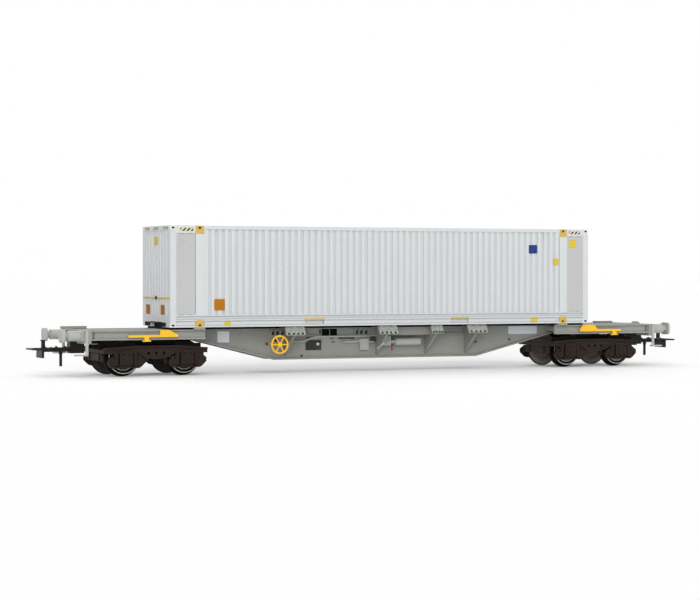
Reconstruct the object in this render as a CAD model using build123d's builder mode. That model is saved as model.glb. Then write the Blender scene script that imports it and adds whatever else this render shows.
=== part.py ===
from build123d import *
from math import cos, radians, sin, tan
import os

# Scale model of a container wagon: a four-axle flat wagon with a deep centre girder,
# two swivelling bogies, loop couplers and a lift-off container.
# Millimetres. X runs along the wagon, the near side is -Y, Z is up from the wheel flanges' tips.
os.makedirs("parts", exist_ok=True)

# Wheelsets
TREAD_RADIUS = 5.25
FLANGE_DEPTH = 0.8
FLANGE_WIDTH = 0.8
FLANGE_BEVEL = 0.26
WHEEL_WIDTH = 2.8
BACK_TO_BACK = 14.4
RIM_DEPTH = 0.95
HUB_RADIUS = 1.9
DISC_THICKNESS = 1.1
AXLE_RADIUS = 1.0
JOURNAL_RADIUS = 0.6
POINT_LENGTH = 0.8
BEARING_CLEARANCE = 0.06

# Bogies
WHEELBASE = 20.8
PIVOT_OVERHANG = 31.5
FRAME_SIDE_ROOM = 0.9
SIDE_PLATE = 1.2
BEAM_RISE_MIDDLE = 3.95
BEAM_RISE_END = 3.2
BEAM_DEPTH = 1.7
BEAM_SHOULDER = 6.5
GUARD_TOP_HALF = 4.3
GUARD_FOOT_HALF = 3.5
GUARD_DROP = 3.15
APRON_SAG = 1.95
APRON_RIB_HEIGHT = 0.6
APRON_HOLES = 3
APRON_HOLE_RADIUS = 0.5
APRON_HOLE_SPACING = 2.6
EAR_RADIUS = 1.9
EAR_SPACING = 3.95
EAR_DROP = 1.4
EAR_BOSS_RADIUS = 0.9
AXLE_BOX_SIZE = 4.4
AXLE_BOX_CORNER = 0.75
AXLE_BOX_DEPTH = 0.9
AXLE_COVER_RADIUS = 1.5
AXLE_COVER_DEPTH = 0.3
AXLE_TIP_DEPTH = 0.2
SPRING_RADIUS = 0.95
SPRING_GROOVE = 0.25
SPRING_COILS = 5
SPRING_SPACING = 3.2
SPRING_LENGTH = 3.6
SPRING_SEAT = 0.45
LEDGE_WIDTH = 0.5
LEDGE_HEIGHT = 0.5
BOLSTER_WHEEL_ROOM = 0.75
BOLSTER_RISE = 1.35
BOLSTER_HEIGHT = 2.2
PIVOT_PAD_HEIGHT = 0.6
PIVOT_PAD_RADIUS = 3.4
PIVOT_SCREW_RADIUS = 1.2
PIVOT_HEAD_RADIUS = 2.0
PIVOT_HEAD_HEIGHT = 0.7
PIVOT_CLEARANCE = 0.08
END_BEAM_WHEEL_ROOM = 0.35
END_BEAM_LENGTH = 0.8
END_BEAM_HEIGHT = 1.2
SHOE_GAP = 0.3
SHOE_THICKNESS = 1.0
SHOE_WIDTH = 1.5
SHOE_HEIGHT = 4.0
SHOE_FLANGE_ROOM = 0.25
HANGER_LENGTH = 1.4
BRAKE_BEAM = 0.8

# Underframe
WHEEL_ROOM = 0.4
GIRDER_END_DEPTH = 2.6
BELLY_DEPTH = 10.8
BELLY_HALF_LENGTH = 38.2
TAPER_TO_PIVOT = 11.5
GIRDER_HALF_WIDTH = 4.0
GIRDER_WEB = 0.9
GIRDER_TOP_PLATE = 0.6
GIRDER_FLANGE = 0.9
GIRDER_FLANGE_THICKNESS = 0.5
DIAPHRAGM = 0.8
PIVOT_BLOCK_LENGTH = 7.0
LENGTH_OVER_BUFFERS = 228.0
BUFFER_LENGTH = 7.0
HEADSTOCK_THICKNESS = 2.4
HEADSTOCK_HALF_WIDTH = 12.9
HEADSTOCK_DEPTH = 4.2
COUPLER_OPENING_HALF = 4.6
COUPLER_OPENING_RISE = 0.2
SILL_REACH = 2.4
SILL_WEB_Y = 12.3
SILL_WEB = 0.8
SILL_FLANGE_Y = 13.0
SILL_FLANGE_THICKNESS = 0.45
SILL_DEPTH = 3.2
SILL_SLOT_WIDTH = 0.6
BOLSTER_BEAM_LENGTH = 9.0
CROSS_BEAM_LENGTH = 3.6
CROSS_BEAM_DEPTH = 1.6
OUTRIGGER_X = (-34.3, 0.0, 18.7, 34.3)
OUTRIGGER_WEB = 0.8
OUTRIGGER_PLATE_LENGTH = 4.4
OUTRIGGER_END_Y = 13.5
OUTRIGGER_END_DEPTH = 1.9
OUTRIGGER_FOOT_RISE = 1.2
FLAP_LENGTHS = (7.0, 7.0, 4.4, 7.4)
FLAP_HEIGHT = 2.7
FLAP_THICKNESS = 0.8
FLAP_TILT = 12.0
FLAP_TOP_RISE = 0.45
STIFFENER_DROP = 3.0
STIFFENER_HEIGHT = 0.45
STIFFENER_WIDTH = 0.8

# Buffers
BUFFER_SPACING = 20.1
BUFFER_DROP = 1.75
BUFFER_HEAD_WIDTH = 5.0
BUFFER_HEAD_HEIGHT = 4.3
BUFFER_HEAD_THICKNESS = 0.9
BUFFER_HEAD_CORNER = 1.2
BUFFER_HEAD_EDGE = 0.3
BUFFER_SLEEVE_RADIUS = 1.65
BUFFER_STEM_RADIUS = 1.2
BUFFER_STEM_LENGTH = 2.2
BUFFER_PLATE_WIDTH = 4.2
BUFFER_PLATE_HEIGHT = 3.36
BUFFER_PLATE_THICKNESS = 0.5

# Steps, brake levers and end pads
STEP_BAR_WIDTH = 0.9
STEP_BAR_THICKNESS = 0.5
STEP_BAR_INSET = 0.8
STEP_DROP = 7.6
TREAD_LENGTH = 4.2
TREAD_WIDTH = 1.7
TREAD_THICKNESS = 0.5
LEVER_THICKNESS = 0.6
LEVER_BAR_HEIGHT = 0.8
LEVER_BAR_DROP = 2.4
LEVER_INNER_REACH = 7.0
LEVER_OUTER_REACH = 9.9
LEVER_FOOT_WIDTH = 1.6
LEVER_TOE_WIDTH = 2.8
LEVER_TOE_HEIGHT = 0.4
LEVER_FOOT_DROP = 3.75
# Columns: end, plate's outer edge, start and end of its top edge (inwards from the pivot), foot (outwards)
LEVER_TABLE = ((-1, 0.8, 0.8, 3.8, 3.7), (1, -0.2, 1.1, 5.6, 7.3))
# Columns: end, middle's distance in from the headstock's face, length, height
END_PAD_TABLE = ((-1, 3.8, 8.4, 0.85), (1, 6.8, 7.2, 0.6))
END_PAD_WIDTH = 2.2

# Brake gear hung on the girder
HANDWHEEL_X = -39.5
HANDWHEEL_DROP = 5.4
HANDWHEEL_Y = 12.7
HANDWHEEL_RADIUS = 2.85
HANDWHEEL_RIM = 0.32
HANDWHEEL_SPOKES = 6
HANDWHEEL_SPOKE_WIDTH = 0.4
HANDWHEEL_HUB_RADIUS = 0.8
HANDWHEEL_HUB_LENGTH = 0.8
HANDWHEEL_SHAFT_RADIUS = 0.45
TANK_X = 11.0
TANK_LENGTH = 10.0
TANK_RADIUS = 1.35
TANK_DROP = 5.2
TANK_STANDOFF = 0.6
TANK_STRAP_WIDTH = 0.7
TANK_STRAP_SPACING = 5.0
VALVE_X = 3.0
VALVE_SIZE = (3.0, 2.4, 3.4)
VALVE_DROP = 4.8
VALVE_SPOUT_RADIUS = 0.6
CABINET_X = -5.0
CABINET_SIZE = (3.2, 1.2, 3.8)
CABINET_DROP = 6.0
PIPE_RADIUS = 0.35
PIPE_STANDOFF = 0.7
PIPE_LOW_DROP = 4.7
PIPE_HIGH_DROP = 3.2
PIPE_BEND = 1.4
PIPE_RISE_START_X = -28.0
PIPE_RISE_END_X = -23.0
PIPE_CLIP_X = (-31.0, -15.0)
PIPE_CLIP_WIDTH = 0.8

# Couplers
DRAWBAR_INSET = 7.4
DRAWBAR_HALF_WIDTH = 1.6
DRAWBAR_THICKNESS = 0.9
DRAWBAR_PIN_RADIUS = 0.8
DRAWBAR_PIN_HEAD_RADIUS = 1.3
DRAWBAR_PIN_HEAD = 0.45
DRAWBAR_CLEARANCE = 0.06
DRAWBAR_DROP = 0.95
POCKET_LENGTH = 4.8
POCKET_REACH = 1.4
POCKET_SIDE = 0.71
POCKET_WALL = 0.5
SHANK_HALF_WIDTH = 1.2
SHANK_HEIGHT = 1.4
SHANK_REACH = 3.4
SHANK_DROP = 1.2
POCKET_FIT = 0.04
BUMPER_THICKNESS = 0.8
BUMPER_HALF_WIDTH = 3.3
BUMPER_DROP = 0.4
BUMPER_HEIGHT = 2.9
HOOK_LENGTH = 1.1
HOOK_WIDTH = 1.0
HOOK_RISE = 2.5
HOOK_NOSE = 0.5
LOOP_PIN_INSET = 2.0
LOOP_DROP = 0.45
LOOP_PIN_RADIUS = 0.35
LOOP_PIN_CLEARANCE = 0.06
LOOP_ARM_ROOM = 0.3
LOOP_ARM_WIDTH = 0.55
LOOP_THICKNESS = 0.5
LOOP_LENGTH = 6.0
LOOP_BAR = 0.6
LOOP_EYE_RADIUS = 0.75
TRIP_PIN_INSET = 6.4
TRIP_PIN_RADIUS = 0.35
TRIP_PIN_FOOT = 3.3

# Container
CONTAINER_LENGTH = 156.8
CONTAINER_WIDTH = 28.0
CONTAINER_HEIGHT = 33.2
SPIGOT_PAD_HEIGHT = 0.7
SPIGOT_PAD_LENGTH = 3.6
SPIGOT_RADIUS = 0.55
SPIGOT_HEIGHT = 1.1
SPIGOT_CLEARANCE = 0.1
FRAME_POST_INSET = 10.2
FRAME_POST_LENGTH = 3.3
CORNER_POST_LENGTH = 2.0
POST_DEPTH = 1.9
FRAME_CASTING_LENGTH = 2.9
CASTING_HEIGHT = 1.4
CASTING_BORE_DEPTH = 1.2
CASTING_SLOT = (1.0, 0.35, 0.6)
DOOR_SILL_HEIGHT = 2.2
BOTTOM_RAIL_HEIGHT = 4.0
RAIL_RECESS = 0.4
RAIL_FOOT_LIP = 0.5
RAIL_MIDDLE_LIP = (2.1, 2.55)
RAIL_TOP_LIP = 0.35
FORK_POCKET_X = 27.3
FORK_POCKET_LENGTH = 6.8
FORK_POCKET_RISE = 0.6
FORK_POCKET_HEIGHT = 1.3
TOP_RAIL_HEIGHT = 1.2
END_HEADER_HEIGHT = 1.5
WALL_SET_BACK = 0.15
WALL_THICKNESS = 0.95
FLUTE_PITCH = 2.35
FLUTE_FLAT = 1.25
FLUTE_SLOPE = 0.2
FLUTE_DEPTH = 0.4
EXTENSION_FLUTE_PITCH = 3.0
EXTENSION_FLUTE_DEPTH = 0.2
END_FLUTE_PITCH = 2.9
END_FLUTE_FLAT = 1.5
END_FLUTE_SLOPE = 0.3
END_FLUTE_DEPTH = 0.5
ROOF_FLUTE_PITCH = 3.1
ROOF_FLUTE_FLAT = 2.0
ROOF_FLUTE_SLOPE = 0.3
ROOF_FLUTE_DEPTH = 0.3
ROOF_DROP = 0.2
ROOF_THICKNESS = 0.9
FLOOR_RISE = 1.4
FLOOR_THICKNESS = 0.8
BEARER_SPACING = 6.4
BEARER_LENGTH = 1.0
BEARER_HEIGHT = 0.9
TUNNEL_HALF_WIDTH = 5.8
TUNNEL_HEIGHT = 1.3
TUNNEL_LENGTH = 36.0
DOOR_THICKNESS = 0.9
DOOR_SET_BACK = 0.7
DOOR_GAP = 0.12
DOOR_GROOVE_HEIGHT = 1.6
DOOR_GROOVE_DEPTH = 0.25
DOOR_GROOVES = 4
LOCK_ROD_RADIUS = 0.3
LOCK_ROD_Y = (3.0, 9.2)
LOCK_KEEPER = 1.1

# Heights that follow from the wheels up
FLANGE_RADIUS = TREAD_RADIUS + FLANGE_DEPTH
AXLE_Z = FLANGE_RADIUS
WHEEL_TOP = AXLE_Z + FLANGE_RADIUS
GIRDER_END_Z = WHEEL_TOP + WHEEL_ROOM
DECK_Z = GIRDER_END_Z + GIRDER_END_DEPTH
BELLY_Z = DECK_Z - BELLY_DEPTH
CONTAINER_Z = DECK_Z + SPIGOT_PAD_HEIGHT
CONTAINER_TOP = CONTAINER_Z + CONTAINER_HEIGHT
BOLSTER_Z = AXLE_Z + BOLSTER_RISE
BOLSTER_TOP = BOLSTER_Z + BOLSTER_HEIGHT
PIVOT_SEAT_Z = BOLSTER_TOP + PIVOT_PAD_HEIGHT + PIVOT_CLEARANCE

# Places along and across the wagon
BUFFER_FACE_X = LENGTH_OVER_BUFFERS / 2
PIVOT_X = BUFFER_FACE_X - PIVOT_OVERHANG
TAPER_HALF_LENGTH = PIVOT_X - TAPER_TO_PIVOT
WHEEL_BACK_Y = BACK_TO_BACK / 2
WHEEL_FACE_Y = WHEEL_BACK_Y + WHEEL_WIDTH
RIM_INNER_RADIUS = TREAD_RADIUS - RIM_DEPTH
FRAME_INNER_Y = WHEEL_FACE_Y + FRAME_SIDE_ROOM
FRAME_OUTER_Y = FRAME_INNER_Y + SIDE_PLATE
AXLE_TIP_Y = FRAME_OUTER_Y + AXLE_TIP_DEPTH
BOLSTER_HALF = WHEELBASE / 2 - FLANGE_RADIUS - BOLSTER_WHEEL_ROOM
END_BEAM_X = WHEELBASE / 2 + FLANGE_RADIUS + END_BEAM_WHEEL_ROOM
FRAME_HALF_LENGTH = END_BEAM_X + END_BEAM_LENGTH
HEADSTOCK_FACE_X = BUFFER_FACE_X - BUFFER_LENGTH
HEADSTOCK_BACK_X = HEADSTOCK_FACE_X - HEADSTOCK_THICKNESS
DRAWBAR_PIVOT_X = HEADSTOCK_FACE_X - DRAWBAR_INSET
HALF_LENGTH = CONTAINER_LENGTH / 2
HALF_WIDTH = CONTAINER_WIDTH / 2
FRAME_POST_X = HALF_LENGTH - FRAME_POST_INSET
SILL_INNER_END = min(FRAME_POST_X, PIVOT_X - LEVER_INNER_REACH) - SILL_REACH
POST_INNER_Y = HALF_WIDTH - POST_DEPTH
CASTING_Y = HALF_WIDTH - POST_DEPTH / 2
WALL_OUTER_Y = HALF_WIDTH - WALL_SET_BACK
WALL_INNER_Y = WALL_OUTER_Y - WALL_THICKNESS
RAIL_TOP_Z = CONTAINER_Z + BOTTOM_RAIL_HEIGHT
TOP_RAIL_Z = CONTAINER_TOP - TOP_RAIL_HEIGHT
HEADER_Z = CONTAINER_TOP - END_HEADER_HEIGHT
POST_INNER_X = HALF_LENGTH - CORNER_POST_LENGTH
SPIGOT_BORE_RADIUS = SPIGOT_RADIUS + SPIGOT_CLEARANCE


def write_part(builder, name):
    """Label a finished piece and write it as a STEP file of that name."""
    builder.part.label = name
    export_step(builder.part, f"parts/{name}.step")


def write_pair(builder, name, about, first, second):
    """Write a piece and its mirror image, named for the two places."""
    with BuildPart() as twin:
        mirror(builder.part, about=about)
    write_part(builder, f"{name}_{first}")
    write_part(twin, f"{name}_{second}")


def corner_box(x_range, y_range, z_range, mode=Mode.ADD):
    """Add or cut a block given by its lowest and highest value on each axis."""
    lows, highs = zip(x_range, y_range, z_range)
    sizes = [high - low for low, high in zip(lows, highs)]
    with Locations(tuple(lows)):
        Box(*sizes, align=(Align.MIN, Align.MIN, Align.MIN), mode=mode)


def flute_line(start, end, pitch, flat, slope, depth):
    """Points (place, depth) of a row of flutes, centred between two ends."""
    count = int((end - start) // pitch)
    first = (start + end - count * pitch) / 2
    points = [(start, 0.0)]
    for flute in range(count):
        rise = first + flute * pitch + flat / 2
        fall = first + (flute + 1) * pitch - flat / 2
        points += [(rise, 0.0), (rise + slope, depth), (fall - slope, depth), (fall, 0.0)]
    points.append((end, 0.0))
    return points


# Wheelsets: metal rims pressed on discs that are one with the axle
def wheel_rim_section(side):
    """Section of one rim, from its back to its face, on the given side (-1 near, 1 far)."""
    flange_front = WHEEL_BACK_Y + FLANGE_WIDTH
    section = [
        (WHEEL_BACK_Y, RIM_INNER_RADIUS),
        (WHEEL_BACK_Y, FLANGE_RADIUS - FLANGE_BEVEL),
        (WHEEL_BACK_Y + FLANGE_BEVEL, FLANGE_RADIUS),
        (flange_front - FLANGE_BEVEL, FLANGE_RADIUS),
        (flange_front, TREAD_RADIUS),
        (WHEEL_FACE_Y - FLANGE_BEVEL / 2, TREAD_RADIUS),
        (WHEEL_FACE_Y, TREAD_RADIUS - FLANGE_BEVEL / 2),
        (WHEEL_FACE_Y, RIM_INNER_RADIUS),
    ]
    return [(side * y, AXLE_Z + radius) for y, radius in section]


def axle_section():
    """Half section of the axle with its two discs, from the near point to the far one."""
    disc_middle = WHEEL_BACK_Y + WHEEL_WIDTH / 2
    web_in = disc_middle - DISC_THICKNESS / 2
    web_out = disc_middle + DISC_THICKNESS / 2
    seat_in = WHEEL_BACK_Y + FLANGE_WIDTH / 2
    seat_out = WHEEL_FACE_Y - FLANGE_WIDTH / 2
    lip_radius = RIM_INNER_RADIUS - RIM_DEPTH / 2
    half = [
        (AXLE_TIP_Y, 0.0),
        (AXLE_TIP_Y - POINT_LENGTH, JOURNAL_RADIUS),
        (WHEEL_FACE_Y + FRAME_SIDE_ROOM / 2, JOURNAL_RADIUS),
        (WHEEL_FACE_Y + FRAME_SIDE_ROOM / 2, AXLE_RADIUS),
        (seat_out, AXLE_RADIUS),
        (seat_out, HUB_RADIUS),
        (web_out, HUB_RADIUS),
        (web_out, lip_radius),
        (seat_out, lip_radius),
        (seat_out, RIM_INNER_RADIUS),
        (seat_in, RIM_INNER_RADIUS),
        (seat_in, lip_radius),
        (web_in, lip_radius),
        (web_in, AXLE_RADIUS),
    ]
    whole = [(-y, radius) for y, radius in half] + list(reversed(half))
    return [(y, AXLE_Z + radius) for y, radius in whole]


AXLE_X = (
    -PIVOT_X - WHEELBASE / 2,
    -PIVOT_X + WHEELBASE / 2,
    PIVOT_X - WHEELBASE / 2,
    PIVOT_X + WHEELBASE / 2,
)
for number, axle_x in enumerate(AXLE_X, start=1):
    axle_line = Axis((axle_x, 0, AXLE_Z), (0, 1, 0))
    with BuildPart() as rims:
        with BuildSketch(Plane.YZ.offset(axle_x)):
            for side in (-1, 1):
                with BuildLine():
                    Polyline(wheel_rim_section(side), close=True)
                make_face()
        revolve(axis=axle_line)
    write_part(rims, f"wheel_rims_{number}")

    with BuildPart() as axle:
        with BuildSketch(Plane.YZ.offset(axle_x)):
            with BuildLine():
                Polyline(axle_section(), close=True)
            make_face()
        revolve(axis=axle_line)
    write_part(axle, f"axle_{number}")

# Bogie frame: two side plates with axle boxes and springs, a bolster and two end beams
BEAM_FOOT = AXLE_Z + BEAM_RISE_END - BEAM_DEPTH
BEAM_END_TOP = AXLE_Z + BEAM_RISE_END
BEAM_TOP = AXLE_Z + BEAM_RISE_MIDDLE
APRON_HALF = WHEELBASE / 2 - GUARD_TOP_HALF
APRON_ENDS = (-PIVOT_X - APRON_HALF, -PIVOT_X + APRON_HALF)
EAR_PLACES = [
    (axle_x + side * EAR_SPACING, AXLE_Z - EAR_DROP) for axle_x in AXLE_X[:2] for side in (-1, 1)
]
SPRING_Z = AXLE_Z - SPRING_LENGTH / 2
COIL_PITCH = SPRING_LENGTH / SPRING_COILS


def spring_section(spring_x):
    """Half section of a coil spring, from its axis out to the turns."""
    section = [(spring_x, SPRING_Z)]
    for coil in range(SPRING_COILS):
        coil_z = SPRING_Z + coil * COIL_PITCH
        section += [
            (spring_x + SPRING_RADIUS - SPRING_GROOVE, coil_z),
            (spring_x + SPRING_RADIUS, coil_z + COIL_PITCH / 2),
        ]
    section.append((spring_x + SPRING_RADIUS - SPRING_GROOVE, SPRING_Z + SPRING_LENGTH))
    section.append((spring_x, SPRING_Z + SPRING_LENGTH))
    return section


def beam_line(drop):
    """Top line of the side beam, lowered by drop, from the outer to the inner end."""
    return [
        (-PIVOT_X - FRAME_HALF_LENGTH, BEAM_END_TOP - drop),
        (-PIVOT_X - BEAM_SHOULDER, BEAM_TOP - drop),
        (-PIVOT_X + BEAM_SHOULDER, BEAM_TOP - drop),
        (-PIVOT_X + FRAME_HALF_LENGTH, BEAM_END_TOP - drop),
    ]


with BuildPart() as bogie:
    with BuildSketch(Plane.XZ.offset(FRAME_INNER_Y)):
        with BuildLine():
            Polyline(
                *beam_line(0.0),
                (-PIVOT_X + FRAME_HALF_LENGTH, BEAM_FOOT),
                (-PIVOT_X - FRAME_HALF_LENGTH, BEAM_FOOT),
                close=True,
            )
        make_face()
        with BuildLine():
            ThreePointArc(
                (APRON_ENDS[0], BEAM_FOOT),
                (-PIVOT_X, BEAM_FOOT - APRON_SAG),
                (APRON_ENDS[1], BEAM_FOOT),
            )
            Line((APRON_ENDS[1], BEAM_FOOT), (APRON_ENDS[0], BEAM_FOOT))
        make_face()
        for axle_x in AXLE_X[:2]:
            with BuildLine():
                Polyline(
                    (axle_x - GUARD_TOP_HALF, BEAM_END_TOP),
                    (axle_x + GUARD_TOP_HALF, BEAM_END_TOP),
                    (axle_x + GUARD_FOOT_HALF, AXLE_Z - GUARD_DROP),
                    (axle_x - GUARD_FOOT_HALF, AXLE_Z - GUARD_DROP),
                    close=True,
                )
            make_face()
        with Locations(*EAR_PLACES):
            Circle(EAR_RADIUS)
        with Locations((-PIVOT_X, BEAM_FOOT)):
            with GridLocations(APRON_HOLE_SPACING, 0, APRON_HOLES, 1):
                Circle(APRON_HOLE_RADIUS, mode=Mode.SUBTRACT)
    extrude(amount=SIDE_PLATE)
    # Ledge along the top of the beam, rib along the apron and bosses on the ears
    with BuildSketch(Plane.XZ.offset(FRAME_OUTER_Y)):
        with BuildLine():
            Polyline(*beam_line(0.0), *reversed(beam_line(LEDGE_HEIGHT)), close=True)
        make_face()
        with BuildLine():
            rib_edges = [
                ThreePointArc(
                    (APRON_ENDS[0], BEAM_FOOT + lift),
                    (-PIVOT_X, BEAM_FOOT - APRON_SAG + lift),
                    (APRON_ENDS[1], BEAM_FOOT + lift),
                )
                for lift in (0.0, APRON_RIB_HEIGHT)
            ]
            for end in (0, 1):
                Line(rib_edges[0] @ end, rib_edges[1] @ end)
        make_face()
        with Locations(*EAR_PLACES):
            Circle(EAR_BOSS_RADIUS)
    extrude(amount=LEDGE_WIDTH)
    # Axle boxes with their round covers
    with BuildSketch(Plane.XZ.offset(FRAME_OUTER_Y)):
        with Locations(*[(axle_x, AXLE_Z) for axle_x in AXLE_X[:2]]):
            RectangleRounded(AXLE_BOX_SIZE, AXLE_BOX_SIZE, AXLE_BOX_CORNER)
    extrude(amount=AXLE_BOX_DEPTH)
    with BuildSketch(Plane.XZ.offset(FRAME_OUTER_Y + AXLE_BOX_DEPTH)):
        with Locations(*[(axle_x, AXLE_Z) for axle_x in AXLE_X[:2]]):
            Circle(AXLE_COVER_RADIUS)
    extrude(amount=AXLE_COVER_DEPTH)
    # Coil springs either side of each axle box, on their seats
    for axle_x in AXLE_X[:2]:
        for side in (-1, 1):
            spring_x = axle_x + side * SPRING_SPACING
            with BuildSketch(Plane.XZ.offset(FRAME_OUTER_Y)):
                with BuildLine():
                    Polyline(spring_section(spring_x), close=True)
                make_face()
            revolve(axis=Axis((spring_x, -FRAME_OUTER_Y, 0), (0, 0, 1)))
            with Locations((spring_x, -FRAME_OUTER_Y, SPRING_Z)):
                Cylinder(
                    SPRING_RADIUS,
                    SPRING_SEAT,
                    align=(Align.CENTER, Align.CENTER, Align.MAX),
                )
    mirror(about=Plane.XZ)
    # Bolster with its pivot pad, and the end beams
    with Locations((-PIVOT_X, 0, BOLSTER_Z)):
        Box(
            2 * BOLSTER_HALF,
            2 * FRAME_INNER_Y,
            BOLSTER_HEIGHT,
            align=(Align.CENTER, Align.CENTER, Align.MIN),
        )
    with Locations((-PIVOT_X, 0, BOLSTER_TOP)):
        Cylinder(
            PIVOT_PAD_RADIUS,
            PIVOT_PAD_HEIGHT,
            align=(Align.CENTER, Align.CENTER, Align.MIN),
        )
    for side in (-1, 1):
        with Locations((-PIVOT_X + side * (END_BEAM_X + END_BEAM_LENGTH / 2), 0, BEAM_FOOT)):
            Box(
                END_BEAM_LENGTH,
                2 * FRAME_INNER_Y,
                END_BEAM_HEIGHT,
                align=(Align.CENTER, Align.CENTER, Align.MIN),
            )
    # Pivot hole and the pointed bearings
    with Locations((-PIVOT_X, 0, BOLSTER_Z)):
        Cylinder(
            PIVOT_SCREW_RADIUS + PIVOT_CLEARANCE,
            BOLSTER_HEIGHT + PIVOT_PAD_HEIGHT,
            align=(Align.CENTER, Align.CENTER, Align.MIN),
            mode=Mode.SUBTRACT,
        )
    for axle_x in AXLE_X[:2]:
        with BuildSketch(Plane.YZ.offset(axle_x)):
            for side in (-1, 1):
                bearing = [
                    (FRAME_INNER_Y, 0.0),
                    (FRAME_INNER_Y, JOURNAL_RADIUS + BEARING_CLEARANCE),
                    (AXLE_TIP_Y - POINT_LENGTH, JOURNAL_RADIUS + BEARING_CLEARANCE),
                    (AXLE_TIP_Y + 2 * BEARING_CLEARANCE, BEARING_CLEARANCE / 2),
                    (AXLE_TIP_Y + 2 * BEARING_CLEARANCE, 0.0),
                ]
                with BuildLine():
                    Polyline([(side * y, AXLE_Z + r) for y, r in bearing], close=True)
                make_face()
        revolve(axis=Axis((axle_x, 0, AXLE_Z), (0, 1, 0)), mode=Mode.SUBTRACT)
write_pair(bogie, "bogie_frame", Plane.YZ, "left", "right")

# Brake shoes: a curved block at the inner side of each wheel, two on a cross beam
SHOE_INNER_RADIUS = TREAD_RADIUS + SHOE_GAP
SHOE_OUTER_RADIUS = SHOE_INNER_RADIUS + SHOE_THICKNESS
SHOE_Y = WHEEL_BACK_Y + FLANGE_WIDTH + SHOE_FLANGE_ROOM
BRAKE_BEAM_REACH = FLANGE_RADIUS + SHOE_GAP + BRAKE_BEAM / 2
HANGER_REACH = WHEELBASE / 2 - BOLSTER_HALF
with BuildPart() as brake_shoes:
    for axle_x, facing in zip(AXLE_X[:2], (1, -1)):
        with BuildSketch(Plane.XZ.offset(SHOE_Y)):
            with Locations((axle_x, AXLE_Z)):
                Circle(SHOE_OUTER_RADIUS)
                Circle(SHOE_INNER_RADIUS, mode=Mode.SUBTRACT)
            with Locations((axle_x + facing * SHOE_OUTER_RADIUS, AXLE_Z)):
                Rectangle(SHOE_OUTER_RADIUS, SHOE_HEIGHT, mode=Mode.INTERSECT)
        extrude(amount=SHOE_WIDTH)
        with Locations((axle_x + facing * HANGER_REACH, -SHOE_Y, AXLE_Z)):
            Box(
                HANGER_LENGTH,
                SHOE_WIDTH,
                BOLSTER_RISE,
                align=(Align.CENTER, Align.MAX, Align.MIN),
            )
        with Locations((axle_x + facing * BRAKE_BEAM_REACH, 0, AXLE_Z)):
            Box(BRAKE_BEAM, 2 * SHOE_Y + SHOE_WIDTH, BRAKE_BEAM)
    mirror(about=Plane.XZ)
write_pair(brake_shoes, "brake_shoes", Plane.YZ, "left", "right")

# Centre girder: a deep open box, fish-bellied between the bogies
def belly_line(lift):
    """Lower line of the girder, raised by lift, from the left to the right end."""
    return [
        (-HEADSTOCK_BACK_X, GIRDER_END_Z + lift),
        (-TAPER_HALF_LENGTH, GIRDER_END_Z + lift),
        (-BELLY_HALF_LENGTH, BELLY_Z + lift),
        (BELLY_HALF_LENGTH, BELLY_Z + lift),
        (TAPER_HALF_LENGTH, GIRDER_END_Z + lift),
        (HEADSTOCK_BACK_X, GIRDER_END_Z + lift),
    ]


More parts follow.
